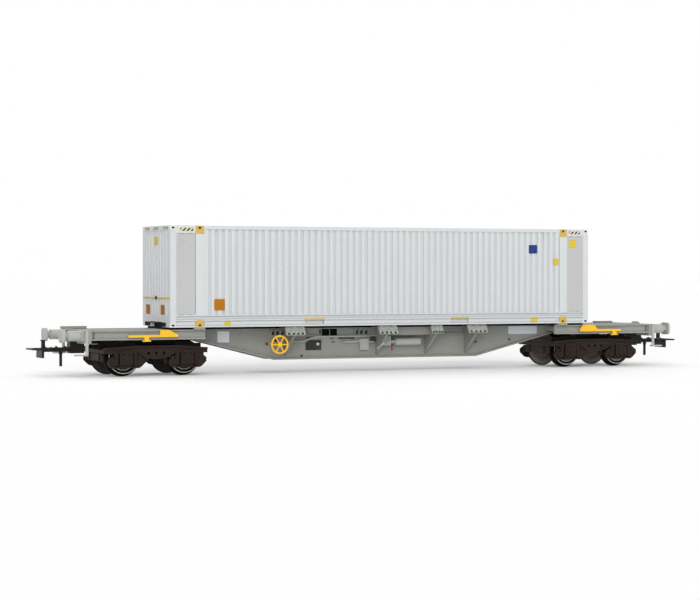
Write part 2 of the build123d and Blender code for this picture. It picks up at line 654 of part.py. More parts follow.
GIRDER_INNER = GIRDER_HALF_WIDTH - GIRDER_WEB
GIRDER_FLANGE_Y = GIRDER_HALF_WIDTH + GIRDER_FLANGE
TOP_PLATE_Z = DECK_Z - GIRDER_TOP_PLATE
DRAWBAR_TOP = GIRDER_END_Z - DRAWBAR_DROP
DRAWBAR_Z = DRAWBAR_TOP - DRAWBAR_THICKNESS
with BuildPart() as girder:
    with BuildSketch(Plane.XZ.offset(-GIRDER_HALF_WIDTH)):
        with BuildLine():
            Polyline(
                *belly_line(0.0),
                (HEADSTOCK_BACK_X, DECK_Z),
                (-HEADSTOCK_BACK_X, DECK_Z),
                close=True,
            )
        make_face()
    extrude(amount=2 * GIRDER_HALF_WIDTH)
    corner_box(
        (-HEADSTOCK_BACK_X, HEADSTOCK_BACK_X),
        (-GIRDER_INNER, GIRDER_INNER),
        (BELLY_Z, TOP_PLATE_Z),
        mode=Mode.SUBTRACT,
    )
    # Flanges along the lower edges and the deck edges
    with BuildSketch(Plane.XZ.offset(GIRDER_HALF_WIDTH)):
        with BuildLine():
            Polyline(*belly_line(0.0), *reversed(belly_line(GIRDER_FLANGE_THICKNESS)), close=True)
        make_face()
    extrude(amount=GIRDER_FLANGE)
    corner_box(
        (-HEADSTOCK_BACK_X, HEADSTOCK_BACK_X),
        (-GIRDER_FLANGE_Y, -GIRDER_HALF_WIDTH),
        (DECK_Z - GIRDER_FLANGE_THICKNESS, DECK_Z),
    )
    # Stiffener along the web between the outriggers right of the middle
    corner_box(
        (OUTRIGGER_X[1] + OUTRIGGER_WEB, OUTRIGGER_X[3] - OUTRIGGER_WEB),
        (-GIRDER_HALF_WIDTH - STIFFENER_WIDTH, -GIRDER_HALF_WIDTH),
        (DECK_Z - STIFFENER_DROP, DECK_Z - STIFFENER_DROP + STIFFENER_HEIGHT),
    )
    for outrigger_x in OUTRIGGER_X:
        corner_box(
            (outrigger_x - OUTRIGGER_WEB, outrigger_x + OUTRIGGER_WEB),
            (-GIRDER_HALF_WIDTH - STIFFENER_WIDTH, -GIRDER_HALF_WIDTH),
            (DECK_Z - STIFFENER_DROP, DECK_Z - STIFFENER_DROP + STIFFENER_HEIGHT),
            mode=Mode.SUBTRACT,
        )
    mirror(about=Plane.XZ)
    # Diaphragms inside, at the outriggers
    for outrigger_x in OUTRIGGER_X:
        corner_box(
            (outrigger_x - DIAPHRAGM / 2, outrigger_x + DIAPHRAGM / 2),
            (-GIRDER_INNER, GIRDER_INNER),
            (BELLY_Z + OUTRIGGER_FOOT_RISE, TOP_PLATE_Z),
        )
    for side in (-1, 1):
        # Bogie pivot block and boss
        with Locations((side * PIVOT_X, 0, GIRDER_END_Z)):
            Box(
                PIVOT_BLOCK_LENGTH,
                2 * GIRDER_INNER,
                GIRDER_END_DEPTH - GIRDER_TOP_PLATE,
                align=(Align.CENTER, Align.CENTER, Align.MIN),
            )
        with Locations((side * PIVOT_X, 0, PIVOT_SEAT_Z)):
            Cylinder(
                PIVOT_PAD_RADIUS,
                GIRDER_END_Z - PIVOT_SEAT_Z,
                align=(Align.CENTER, Align.CENTER, Align.MIN),
            )
        # Drawbar pin with its retaining head
        with Locations((side * DRAWBAR_PIVOT_X, 0, DRAWBAR_Z - DRAWBAR_CLEARANCE)):
            Cylinder(
                DRAWBAR_PIN_HEAD_RADIUS,
                DRAWBAR_PIN_HEAD,
                align=(Align.CENTER, Align.CENTER, Align.MAX),
            )
            Cylinder(
                DRAWBAR_PIN_RADIUS,
                TOP_PLATE_Z - DRAWBAR_Z + DRAWBAR_CLEARANCE,
                align=(Align.CENTER, Align.CENTER, Align.MIN),
            )
        with Locations((side * DRAWBAR_PIVOT_X, 0, GIRDER_END_Z)):
            Box(
                2 * DRAWBAR_PIN_HEAD_RADIUS,
                2 * GIRDER_INNER,
                GIRDER_END_DEPTH - GIRDER_TOP_PLATE,
                align=(Align.CENTER, Align.CENTER, Align.MIN),
            )
write_part(girder, "centre_girder")

# Pivot screws that hold the bogies on
SCREW_HEAD_TOP = BOLSTER_Z - PIVOT_CLEARANCE
with BuildPart() as pivot_screws:
    for side in (-1, 1):
        with Locations((side * PIVOT_X, 0, SCREW_HEAD_TOP)):
            Cylinder(
                PIVOT_HEAD_RADIUS,
                PIVOT_HEAD_HEIGHT,
                align=(Align.CENTER, Align.CENTER, Align.MAX),
            )
            Cylinder(
                PIVOT_SCREW_RADIUS,
                PIVOT_SEAT_Z - SCREW_HEAD_TOP,
                align=(Align.CENTER, Align.CENTER, Align.MIN),
            )
write_part(pivot_screws, "pivot_screws")

# Outriggers: gusset and top plate that carry the container supports, on both sides
with BuildPart() as outriggers:
    for outrigger_x in OUTRIGGER_X:
        with BuildSketch(Plane.YZ.offset(outrigger_x - OUTRIGGER_WEB / 2)):
            with BuildLine():
                Polyline(
                    (-GIRDER_HALF_WIDTH, BELLY_Z + OUTRIGGER_FOOT_RISE),
                    (-GIRDER_HALF_WIDTH, DECK_Z - GIRDER_FLANGE_THICKNESS),
                    (-OUTRIGGER_END_Y, DECK_Z - GIRDER_FLANGE_THICKNESS),
                    (-OUTRIGGER_END_Y, DECK_Z - OUTRIGGER_END_DEPTH),
                    close=True,
                )
            make_face()
        extrude(amount=OUTRIGGER_WEB)
        corner_box(
            (outrigger_x - OUTRIGGER_PLATE_LENGTH / 2, outrigger_x + OUTRIGGER_PLATE_LENGTH / 2),
            (-OUTRIGGER_END_Y, -GIRDER_FLANGE_Y),
            (DECK_Z - GIRDER_FLANGE_THICKNESS, DECK_Z),
        )
    mirror(about=Plane.XZ)
write_part(outriggers, "outriggers")

# Folding container supports, let down on the outriggers' ends
FLAP_DIRECTION = (0, -cos(radians(FLAP_TILT)), sin(radians(FLAP_TILT)))
FLAP_SEAT = DECK_Z + FLAP_TOP_RISE
FLAP_LEAN = FLAP_TOP_RISE * tan(radians(FLAP_TILT))
with BuildPart() as flaps:
    for outrigger_x, flap_length in zip(OUTRIGGER_X, FLAP_LENGTHS):
        flap_top = (outrigger_x, -OUTRIGGER_END_Y + FLAP_LEAN, FLAP_SEAT)
        with BuildSketch(Plane(flap_top, x_dir=(1, 0, 0), z_dir=FLAP_DIRECTION)):
            Rectangle(flap_length, FLAP_HEIGHT, align=(Align.CENTER, Align.MAX))
        extrude(amount=FLAP_THICKNESS)
write_pair(flaps, "support_flaps", Plane.XZ, "near", "far")

# End sills: channels over the bogies, outside the girder
SILL_Z = DECK_Z - SILL_DEPTH
SILL_BACK_Y = SILL_WEB_Y - SILL_WEB
with BuildPart() as end_sills:
    corner_box((-HEADSTOCK_BACK_X, -SILL_INNER_END), (-SILL_WEB_Y, -SILL_BACK_Y), (SILL_Z, DECK_Z))
    for flange_z in (SILL_Z, DECK_Z - SILL_FLANGE_THICKNESS):
        corner_box(
            (-HEADSTOCK_BACK_X, -SILL_INNER_END),
            (-SILL_FLANGE_Y, -SILL_WEB_Y),
            (flange_z, flange_z + SILL_FLANGE_THICKNESS),
        )
    corner_box(
        (-HEADSTOCK_BACK_X + SILL_SLOT_WIDTH, -HEADSTOCK_BACK_X + 2 * SILL_SLOT_WIDTH),
        (-SILL_WEB_Y, -SILL_BACK_Y),
        (SILL_Z + SILL_FLANGE_THICKNESS, DECK_Z - SILL_FLANGE_THICKNESS),
        mode=Mode.SUBTRACT,
    )
    mirror(about=Plane.XZ)
    mirror(about=Plane.YZ)
write_part(end_sills, "end_sills")

# Cross members between girder and end sills: the bolster and the beam under the spigots
with BuildPart() as cross_members:
    for middle_x, beam_length in (
        (PIVOT_X, BOLSTER_BEAM_LENGTH),
        (FRAME_POST_X, CROSS_BEAM_LENGTH),
    ):
        corner_box(
            (-middle_x - beam_length / 2, -middle_x + beam_length / 2),
            (-SILL_BACK_Y, -GIRDER_HALF_WIDTH),
            (
                DECK_Z - GIRDER_FLANGE_THICKNESS - CROSS_BEAM_DEPTH,
                DECK_Z - GIRDER_FLANGE_THICKNESS,
            ),
        )
    mirror(about=Plane.XZ)
    mirror(about=Plane.YZ)
write_part(cross_members, "cross_members")

# Headstocks, open below for the coupler
with BuildPart() as headstock:
    with BuildSketch(Plane.YZ.offset(-HEADSTOCK_FACE_X)):
        with Locations((0, DECK_Z)):
            Rectangle(2 * HEADSTOCK_HALF_WIDTH, HEADSTOCK_DEPTH, align=(Align.CENTER, Align.MAX))
        with Locations((0, DECK_Z - HEADSTOCK_DEPTH)):
            Rectangle(
                2 * COUPLER_OPENING_HALF,
                HEADSTOCK_DEPTH - GIRDER_END_DEPTH + COUPLER_OPENING_RISE,
                align=(Align.CENTER, Align.MIN),
                mode=Mode.SUBTRACT,
            )
    extrude(amount=HEADSTOCK_THICKNESS)
write_pair(headstock, "headstock", Plane.YZ, "left", "right")

# Buffers
BUFFER_Z = DECK_Z - BUFFER_DROP
BUFFER_Y = BUFFER_SPACING / 2
with BuildPart() as buffer:
    with BuildSketch(Plane.YZ.offset(-HEADSTOCK_FACE_X - BUFFER_PLATE_THICKNESS)):
        with Locations((-BUFFER_Y, BUFFER_Z)):
            RectangleRounded(BUFFER_PLATE_WIDTH, BUFFER_PLATE_HEIGHT, BUFFER_PLATE_THICKNESS)
    extrude(amount=BUFFER_PLATE_THICKNESS)
    with BuildSketch(Plane.YZ.offset(-BUFFER_FACE_X + BUFFER_STEM_LENGTH)):
        with Locations((-BUFFER_Y, BUFFER_Z)):
            Circle(BUFFER_SLEEVE_RADIUS)
    extrude(amount=BUFFER_LENGTH - BUFFER_STEM_LENGTH - BUFFER_PLATE_THICKNESS)
    with BuildSketch(Plane.YZ.offset(-BUFFER_FACE_X + BUFFER_HEAD_THICKNESS)):
        with Locations((-BUFFER_Y, BUFFER_Z)):
            Circle(BUFFER_STEM_RADIUS)
    extrude(amount=BUFFER_STEM_LENGTH - BUFFER_HEAD_THICKNESS)
    with BuildSketch(Plane.YZ.offset(-BUFFER_FACE_X)):
        with Locations((-BUFFER_Y, BUFFER_Z)):
            RectangleRounded(BUFFER_HEAD_WIDTH, BUFFER_HEAD_HEIGHT, BUFFER_HEAD_CORNER)
    extrude(amount=BUFFER_HEAD_THICKNESS)
    fillet(buffer.faces().sort_by(Axis.X)[0].edges(), BUFFER_HEAD_EDGE)
with BuildPart() as buffer_far:
    mirror(buffer.part, about=Plane.XZ)
write_pair(buffer, "buffer_near", Plane.YZ, "left", "right")
write_pair(buffer_far, "buffer_far", Plane.YZ, "left", "right")

# Corner steps, one below each end of the headstock
STEP_X = HEADSTOCK_FACE_X - STEP_BAR_INSET
STEP_OUTER_Y = HEADSTOCK_HALF_WIDTH + STEP_BAR_THICKNESS
with BuildPart() as steps:
    corner_box(
        (-STEP_X - STEP_BAR_WIDTH / 2, -STEP_X + STEP_BAR_WIDTH / 2),
        (-STEP_OUTER_Y, -HEADSTOCK_HALF_WIDTH),
        (DECK_Z - STEP_DROP, DECK_Z),
    )
    corner_box(
        (-STEP_X + STEP_BAR_WIDTH / 2 - TREAD_LENGTH, -STEP_X + STEP_BAR_WIDTH / 2),
        (-STEP_OUTER_Y, -STEP_OUTER_Y + TREAD_WIDTH),
        (DECK_Z - STEP_DROP - TREAD_THICKNESS, DECK_Z - STEP_DROP),
    )
    mirror(about=Plane.XZ)
    mirror(about=Plane.YZ)
write_part(steps, "corner_steps")

# Brake change-over levers on the end sills: a bar with a plate and a foot, alike when turned end for end
LEVER_BAR_Z = DECK_Z - LEVER_BAR_DROP
LEVER_TOE_Z = DECK_Z - LEVER_FOOT_DROP
with BuildPart() as near_levers:
    for end, plate_edge, top_start, top_end, foot in LEVER_TABLE:
        lever_line = [
            (-LEVER_OUTER_REACH, LEVER_BAR_Z),
            (-LEVER_OUTER_REACH, LEVER_BAR_Z + LEVER_BAR_HEIGHT),
            (plate_edge, LEVER_BAR_Z + LEVER_BAR_HEIGHT),
            (top_start, DECK_Z),
            (top_end, DECK_Z),
            (LEVER_INNER_REACH, LEVER_BAR_Z + LEVER_BAR_HEIGHT),
            (LEVER_INNER_REACH, LEVER_BAR_Z),
        ]
        with BuildSketch(Plane.XZ.offset(SILL_FLANGE_Y)):
            with BuildLine():
                Polyline([(end * (PIVOT_X - inwards), z) for inwards, z in lever_line], close=True)
            make_face()
            with Locations((end * (PIVOT_X + foot), LEVER_TOE_Z)):
                Rectangle(
                    LEVER_FOOT_WIDTH,
                    LEVER_BAR_Z - LEVER_TOE_Z,
                    align=(Align.CENTER, Align.MIN),
                )
                Rectangle(LEVER_TOE_WIDTH, LEVER_TOE_HEIGHT, align=(Align.CENTER, Align.MIN))
        extrude(amount=LEVER_THICKNESS)
with BuildPart() as levers:
    add(near_levers.part)
    add(near_levers.part, rotation=(0, 0, 180))
write_part(levers, "brake_levers")

# Pads over the headstocks' far corners
with BuildPart() as end_pads:
    for end, pad_inset, pad_length, pad_height in END_PAD_TABLE:
        pad_x = end * (HEADSTOCK_FACE_X - pad_inset)
        corner_box(
            (pad_x - pad_length / 2, pad_x + pad_length / 2),
            (HEADSTOCK_HALF_WIDTH - END_PAD_WIDTH, HEADSTOCK_HALF_WIDTH),
            (DECK_Z, DECK_Z + pad_height),
        )
write_part(end_pads, "end_pads")

# Spigots that hold the container, on their pads
with BuildPart() as spigots:
    with Locations((-FRAME_POST_X, -CASTING_Y, DECK_Z)):
        Box(
            SPIGOT_PAD_LENGTH,
            POST_DEPTH,
            SPIGOT_PAD_HEIGHT,
            align=(Align.CENTER, Align.CENTER, Align.MIN),
        )
        Cylinder(
            SPIGOT_RADIUS,
            SPIGOT_PAD_HEIGHT + SPIGOT_HEIGHT,
            align=(Align.CENTER, Align.CENTER, Align.MIN),
        )
    mirror(about=Plane.XZ)
    mirror(about=Plane.YZ)
write_part(spigots, "spigots")

# Parking brake handwheels, on shafts out of the girder's webs
HANDWHEEL_Z = DECK_Z - HANDWHEEL_DROP
with BuildPart() as handwheels:
    with Locations(Location((HANDWHEEL_X, -HANDWHEEL_Y, HANDWHEEL_Z), (90, 0, 0))):
        Torus(HANDWHEEL_RADIUS, HANDWHEEL_RIM)
    with BuildSketch(Plane.XZ.offset(HANDWHEEL_Y - HANDWHEEL_SPOKE_WIDTH / 2)):
        with Locations((HANDWHEEL_X, HANDWHEEL_Z)):
            with PolarLocations(HANDWHEEL_RADIUS / 2, HANDWHEEL_SPOKES):
                Rectangle(HANDWHEEL_RADIUS, HANDWHEEL_SPOKE_WIDTH)
    extrude(amount=HANDWHEEL_SPOKE_WIDTH)
    with BuildSketch(Plane.XZ.offset(HANDWHEEL_Y - HANDWHEEL_HUB_LENGTH / 2)):
        with Locations((HANDWHEEL_X, HANDWHEEL_Z)):
            Circle(HANDWHEEL_HUB_RADIUS)
    extrude(amount=HANDWHEEL_HUB_LENGTH)
    with BuildSketch(Plane.XZ.offset(GIRDER_HALF_WIDTH)):
        with Locations((HANDWHEEL_X, HANDWHEEL_Z)):
            Circle(HANDWHEEL_SHAFT_RADIUS)
    extrude(amount=HANDWHEEL_Y - GIRDER_HALF_WIDTH)
    mirror(about=Plane.XZ)
write_part(handwheels, "handwheels")

# Air tanks strapped to the webs
TANK_Y = GIRDER_HALF_WIDTH + TANK_STANDOFF + TANK_RADIUS
TANK_Z = DECK_Z - TANK_DROP
TANK_LEFT_X = TANK_X - TANK_LENGTH / 2
with BuildPart() as air_tanks:
    with BuildSketch(Plane.YZ.offset(TANK_LEFT_X)):
        with Locations((-TANK_Y, TANK_Z)):
            Circle(TANK_RADIUS)
    extrude(amount=TANK_LENGTH)
    fillet(air_tanks.edges().filter_by(GeomType.CIRCLE), TANK_RADIUS / 2)
    for side in (-1, 1):
        strap_x = TANK_X + side * TANK_STRAP_SPACING / 2
        corner_box(
            (strap_x - TANK_STRAP_WIDTH / 2, strap_x + TANK_STRAP_WIDTH / 2),
            (-TANK_Y, -GIRDER_HALF_WIDTH),
            (TANK_Z - TANK_STRAP_WIDTH / 2, TANK_Z + TANK_STRAP_WIDTH / 2),
        )
    mirror(about=Plane.XZ)
write_part(air_tanks, "air_tanks")

# Brake valve with its spout to the tank, and the control cabinet beside it
VALVE_Z = DECK_Z - VALVE_DROP
with BuildPart() as brake_valves:
    with Locations((VALVE_X, -GIRDER_HALF_WIDTH, VALVE_Z)):
        Box(*VALVE_SIZE, align=(Align.CENTER, Align.MAX, Align.CENTER))
    with BuildSketch(Plane.YZ.offset(VALVE_X)):
        with Locations((-TANK_Y, TANK_Z)):
            Circle(VALVE_SPOUT_RADIUS)
    extrude(amount=TANK_LEFT_X - VALVE_X)
    with Locations((CABINET_X, -GIRDER_HALF_WIDTH, DECK_Z - CABINET_DROP)):
        Box(*CABINET_SIZE, align=(Align.CENTER, Align.MAX, Align.CENTER))
write_part(brake_valves, "brake_valves")

# Brake pipe along the near web, between the outriggers left of the middle
PIPE_Y = GIRDER_HALF_WIDTH + PIPE_STANDOFF
PIPE_LOW_Z = DECK_Z - PIPE_LOW_DROP
PIPE_HIGH_Z = DECK_Z - PIPE_HIGH_DROP
PIPE_LEFT_X = OUTRIGGER_X[0] + OUTRIGGER_WEB / 2
PIPE_RIGHT_X = OUTRIGGER_X[1] - OUTRIGGER_WEB / 2
with BuildPart() as brake_pipe:
    with BuildLine():
        FilletPolyline(
            (PIPE_LEFT_X, -PIPE_Y, PIPE_LOW_Z),
            (PIPE_RISE_START_X, -PIPE_Y, PIPE_LOW_Z),
            (PIPE_RISE_END_X, -PIPE_Y, PIPE_HIGH_Z),
            (PIPE_RIGHT_X, -PIPE_Y, PIPE_HIGH_Z),
            radius=PIPE_BEND,
        )
    with BuildSketch(Plane.YZ.offset(PIPE_LEFT_X)):
        with Locations((-PIPE_Y, PIPE_LOW_Z)):
            Circle(PIPE_RADIUS)
    sweep()
    for clip_x, clip_z in zip(PIPE_CLIP_X, (PIPE_LOW_Z, PIPE_HIGH_Z)):
        corner_box(
            (clip_x - PIPE_CLIP_WIDTH / 2, clip_x + PIPE_CLIP_WIDTH / 2),
            (-PIPE_Y, -GIRDER_HALF_WIDTH),
            (clip_z - PIPE_RADIUS / 2, clip_z + PIPE_RADIUS / 2),
        )
write_part(brake_pipe, "brake_pipe")

# Drawbar with the coupler pocket, swinging on the girder's pin
SHANK_TOP = DRAWBAR_Z - SHANK_DROP
SHANK_FOOT = SHANK_TOP - SHANK_HEIGHT
SHANK_OUTER_X = BUFFER_FACE_X + SHANK_REACH
POCKET_OUTER_X = HEADSTOCK_FACE_X + POCKET_REACH
POCKET_INNER_X = POCKET_OUTER_X - POCKET_LENGTH
POCKET_HALF_WIDTH = SHANK_HALF_WIDTH + POCKET_FIT + POCKET_SIDE
with BuildPart() as drawbar:
    with BuildSketch(Plane.XY.offset(DRAWBAR_Z)):
        with Locations((-DRAWBAR_PIVOT_X, 0)):
            Circle(DRAWBAR_HALF_WIDTH)
            Rectangle(
                POCKET_OUTER_X - DRAWBAR_PIVOT_X,
                2 * DRAWBAR_HALF_WIDTH,
                align=(Align.MAX, Align.CENTER),
            )
            Circle(DRAWBAR_PIN_RADIUS + DRAWBAR_CLEARANCE, mode=Mode.SUBTRACT)
    extrude(amount=DRAWBAR_THICKNESS)
    corner_box(
        (-POCKET_OUTER_X, -POCKET_INNER_X),
        (-POCKET_HALF_WIDTH, POCKET_HALF_WIDTH),
        (SHANK_FOOT - POCKET_FIT - POCKET_WALL, DRAWBAR_Z),
    )
    corner_box(
        (-POCKET_OUTER_X, -POCKET_INNER_X),
        (-SHANK_HALF_WIDTH - POCKET_FIT, SHANK_HALF_WIDTH + POCKET_FIT),
        (SHANK_FOOT - POCKET_FIT, SHANK_TOP + POCKET_FIT),
        mode=Mode.SUBTRACT,
    )
write_pair(drawbar, "drawbar", Plane.YZ, "left", "right")

# Coupler: shank, bumper plate, hook, trip pin and the pin that the loop turns on
LOOP_Z = SHANK_TOP - LOOP_DROP
LOOP_PIN_X = SHANK_OUTER_X - LOOP_PIN_INSET
LOOP_OUTER_X = LOOP_PIN_X + LOOP_LENGTH
LOOP_ARM_Y = BUMPER_HALF_WIDTH + LOOP_ARM_ROOM
LOOP_OUTER_Y = LOOP_ARM_Y + LOOP_ARM_WIDTH
TRIP_PIN_X = SHANK_OUTER_X - TRIP_PIN_INSET
BUMPER_TOP = SHANK_TOP - BUMPER_DROP
HOOK_TOP = SHANK_TOP + HOOK_RISE
with BuildPart() as coupler:
    corner_box(
        (-SHANK_OUTER_X, -POCKET_INNER_X),
        (-SHANK_HALF_WIDTH, SHANK_HALF_WIDTH),
        (SHANK_FOOT, SHANK_TOP),
    )
    corner_box(
        (-SHANK_OUTER_X - BUMPER_THICKNESS, -SHANK_OUTER_X),
        (-BUMPER_HALF_WIDTH, BUMPER_HALF_WIDTH),
        (BUMPER_TOP - BUMPER_HEIGHT, BUMPER_TOP),
    )
    with BuildSketch(Plane.XZ.offset(-HOOK_WIDTH / 2)):
        with BuildLine():
            Polyline(
                (-SHANK_OUTER_X + HOOK_LENGTH, SHANK_FOOT),
                (-SHANK_OUTER_X + HOOK_LENGTH, HOOK_TOP),
                (-SHANK_OUTER_X - HOOK_NOSE, HOOK_TOP),
                (-SHANK_OUTER_X, HOOK_TOP - HOOK_NOSE),
                (-SHANK_OUTER_X, SHANK_FOOT),
                close=True,
            )
        make_face()
    extrude(amount=HOOK_WIDTH)
    with BuildSketch(Plane.XZ.offset(-LOOP_OUTER_Y)):
        with Locations((-LOOP_PIN_X, LOOP_Z)):
            Circle(LOOP_PIN_RADIUS)
    extrude(amount=2 * LOOP_OUTER_Y)
    with BuildSketch(Plane.XY.offset(TRIP_PIN_FOOT)):
        with Locations((-TRIP_PIN_X, 0)):
            Circle(TRIP_PIN_RADIUS)
    extrude(amount=SHANK_FOOT - TRIP_PIN_FOOT)
write_pair(coupler, "coupler", Plane.YZ, "left", "right")

# Coupler loop, lifting on its pin
with BuildPart() as loop:
    for side in (-1, 1):
        with BuildSketch(Plane.XZ.offset(side * LOOP_ARM_Y - (1 - side) / 2 * LOOP_ARM_WIDTH)):
            with Locations((-LOOP_PIN_X, LOOP_Z)):
                Circle(LOOP_EYE_RADIUS)
                Rectangle(
                    LOOP_OUTER_X - LOOP_PIN_X,
                    LOOP_THICKNESS,
                    align=(Align.MAX, Align.CENTER),
                )
                Circle(LOOP_PIN_RADIUS + LOOP_PIN_CLEARANCE, mode=Mode.SUBTRACT)
        extrude(amount=LOOP_ARM_WIDTH)
    corner_box(
        (-LOOP_OUTER_X, -LOOP_OUTER_X + LOOP_BAR),
        (-LOOP_OUTER_Y, LOOP_OUTER_Y),
        (LOOP_Z - LOOP_THICKNESS / 2, LOOP_Z + LOOP_THICKNESS / 2),
    )
write_pair(loop, "coupler_loop", Plane.YZ, "left", "right")

# Container castings, with a bore below and above and a slot in the side
def casting_set(middle_x, length):
    """Four castings at the near left post and its mirror images, bored and slotted."""
    for casting_z, bore_z, bore_end in (
        (CONTAINER_Z, CONTAINER_Z, Align.MIN),
        (CONTAINER_TOP - CASTING_HEIGHT, CONTAINER_TOP, Align.MAX),
    ):
        with Locations((-middle_x, -CASTING_Y, casting_z)):
            Box(
                length,
                POST_DEPTH,
                CASTING_HEIGHT,
                align=(Align.CENTER, Align.CENTER, Align.MIN),
            )
        with Locations((-middle_x, -CASTING_Y, bore_z)):
            Cylinder(
                SPIGOT_BORE_RADIUS,
                CASTING_BORE_DEPTH,
                align=(Align.CENTER, Align.CENTER, bore_end),
                mode=Mode.SUBTRACT,
            )
        with Locations((-middle_x, -HALF_WIDTH, casting_z + CASTING_HEIGHT / 2)):
            Box(
                *CASTING_SLOT,
                align=(Align.CENTER, Align.MIN, Align.CENTER),
                mode=Mode.SUBTRACT,
            )
    mirror(about=Plane.XZ)
    mirror(about=Plane.YZ)


with BuildPart() as corner_castings:
    casting_set(HALF_LENGTH - CORNER_POST_LENGTH / 2, CORNER_POST_LENGTH)
write_part(corner_castings, "container_corner_castings")

with BuildPart() as frame_castings:
    casting_set(FRAME_POST_X, FRAME_CASTING_LENGTH)
write_part(frame_castings, "container_frame_castings")

FRAME_CASTING_X = (
    -FRAME_POST_X - FRAME_CASTING_LENGTH / 2,
    -FRAME_POST_X + FRAME_CASTING_LENGTH / 2,
)
NEAR_FRAME_Y = (-HALF_WIDTH, -POST_INNER_Y)
CASTING_BOTTOM_Z = (CONTAINER_Z, CONTAINER_Z + CASTING_HEIGHT)
CASTING_TOP_Z = (CONTAINER_TOP - CASTING_HEIGHT, CONTAINER_TOP)

# Container posts between the castings and rails
with BuildPart() as corner_posts:
    corner_box((-HALF_LENGTH, -POST_INNER_X), NEAR_FRAME_Y, (CASTING_BOTTOM_Z[1], CASTING_TOP_Z[0]))
    mirror(about=Plane.XZ)
    mirror(about=Plane.YZ)
write_part(corner_posts, "container_corner_posts")

FRAME_POST_INNER_X = FRAME_POST_X - FRAME_POST_LENGTH / 2
FRAME_POST_OUTER_X = FRAME_POST_X + FRAME_POST_LENGTH / 2
with BuildPart() as frame_posts:
    corner_box((-FRAME_POST_OUTER_X, -FRAME_POST_INNER_X), NEAR_FRAME_Y, (RAIL_TOP_Z, TOP_RAIL_Z))
    corner_box(FRAME_CASTING_X, NEAR_FRAME_Y, CASTING_TOP_Z, mode=Mode.SUBTRACT)
    mirror(about=Plane.XZ)
    mirror(about=Plane.YZ)
write_part(frame_posts, "container_frame_posts")

# Side rails: the bottom pair with lips and fork pockets, the top pair plain
RAIL_GROOVES = (
    (RAIL_FOOT_LIP, RAIL_MIDDLE_LIP[0]),
    (RAIL_MIDDLE_LIP[1], BOTTOM_RAIL_HEIGHT - RAIL_TOP_LIP),
)
with BuildPart() as bottom_rails:
    corner_box((-POST_INNER_X, 0), NEAR_FRAME_Y, (CONTAINER_Z, RAIL_TOP_Z))
    for groove_low, groove_high in RAIL_GROOVES:
        corner_box(
            (-POST_INNER_X, 0),
            (-HALF_WIDTH, -HALF_WIDTH + RAIL_RECESS),
            (CONTAINER_Z + groove_low, CONTAINER_Z + groove_high),
            mode=Mode.SUBTRACT,
        )
    corner_box(FRAME_CASTING_X, NEAR_FRAME_Y, CASTING_BOTTOM_Z, mode=Mode.SUBTRACT)
    corner_box(
        (-FORK_POCKET_X - FORK_POCKET_LENGTH / 2, -FORK_POCKET_X + FORK_POCKET_LENGTH / 2),
        (-HALF_WIDTH, -HALF_WIDTH + 2 * RAIL_RECESS),
        (
            CONTAINER_Z + FORK_POCKET_RISE,
            CONTAINER_Z + FORK_POCKET_RISE + FORK_POCKET_HEIGHT,
        ),
        mode=Mode.SUBTRACT,
    )
    mirror(about=Plane.YZ)
    mirror(about=Plane.XZ)
write_part(bottom_rails, "container_bottom_rails")

with BuildPart() as top_rails:
    corner_box((-POST_INNER_X, 0), NEAR_FRAME_Y, (TOP_RAIL_Z, CONTAINER_TOP))
    corner_box(FRAME_CASTING_X, NEAR_FRAME_Y, CASTING_TOP_Z, mode=Mode.SUBTRACT)
    mirror(about=Plane.YZ)
    mirror(about=Plane.XZ)
write_part(top_rails, "container_top_rails")

# End rails: front pair with the tunnel notch, door pair with a low sill
with BuildPart() as front_rails:
    corner_box((-HALF_LENGTH, -POST_INNER_X), (-POST_INNER_Y, POST_INNER_Y), (CONTAINER_Z, RAIL_TOP_Z))
    corner_box(
        (-HALF_LENGTH, -POST_INNER_X),
        (-TUNNEL_HALF_WIDTH, TUNNEL_HALF_WIDTH),
        (CONTAINER_Z, CONTAINER_Z + TUNNEL_HEIGHT),
        mode=Mode.SUBTRACT,
    )
    corner_box((-HALF_LENGTH, -POST_INNER_X), (-POST_INNER_Y, POST_INNER_Y), (HEADER_Z, CONTAINER_TOP))
write_part(front_rails, "container_front_rails")

DOOR_SILL_TOP = CONTAINER_Z + DOOR_SILL_HEIGHT
with BuildPart() as door_rails:
    for rail_z in ((CONTAINER_Z, DOOR_SILL_TOP), (HEADER_Z, CONTAINER_TOP)):
        corner_box((POST_INNER_X, HALF_LENGTH), (-POST_INNER_Y, POST_INNER_Y), rail_z)
write_part(door_rails, "container_door_rails")


# Fluted walls: the side panel between the frame posts and one either side beyond them
SIDE_PANELS = (
    (-POST_INNER_X, -FRAME_POST_OUTER_X, EXTENSION_FLUTE_PITCH, EXTENSION_FLUTE_DEPTH),
    (-FRAME_POST_INNER_X, FRAME_POST_INNER_X, FLUTE_PITCH, FLUTE_DEPTH),
    (FRAME_POST_OUTER_X, POST_INNER_X, EXTENSION_FLUTE_PITCH, EXTENSION_FLUTE_DEPTH),
)
with BuildPart() as side_wall:
    with BuildSketch(Plane.XY.offset(RAIL_TOP_Z)):
        for start, end, pitch, depth in SIDE_PANELS:
            line = flute_line(start, end, pitch, FLUTE_FLAT, FLUTE_SLOPE, depth)
            with BuildLine():
                Polyline(
                    *[(x, -WALL_OUTER_Y + inward) for x, inward in line],
                    (end, -WALL_INNER_Y),
                    (start, -WALL_INNER_Y),
                    close=True,
                )
            make_face()
    extrude(amount=TOP_RAIL_Z - RAIL_TOP_Z)
write_pair(side_wall, "container_wall", Plane.XZ, "near", "far")

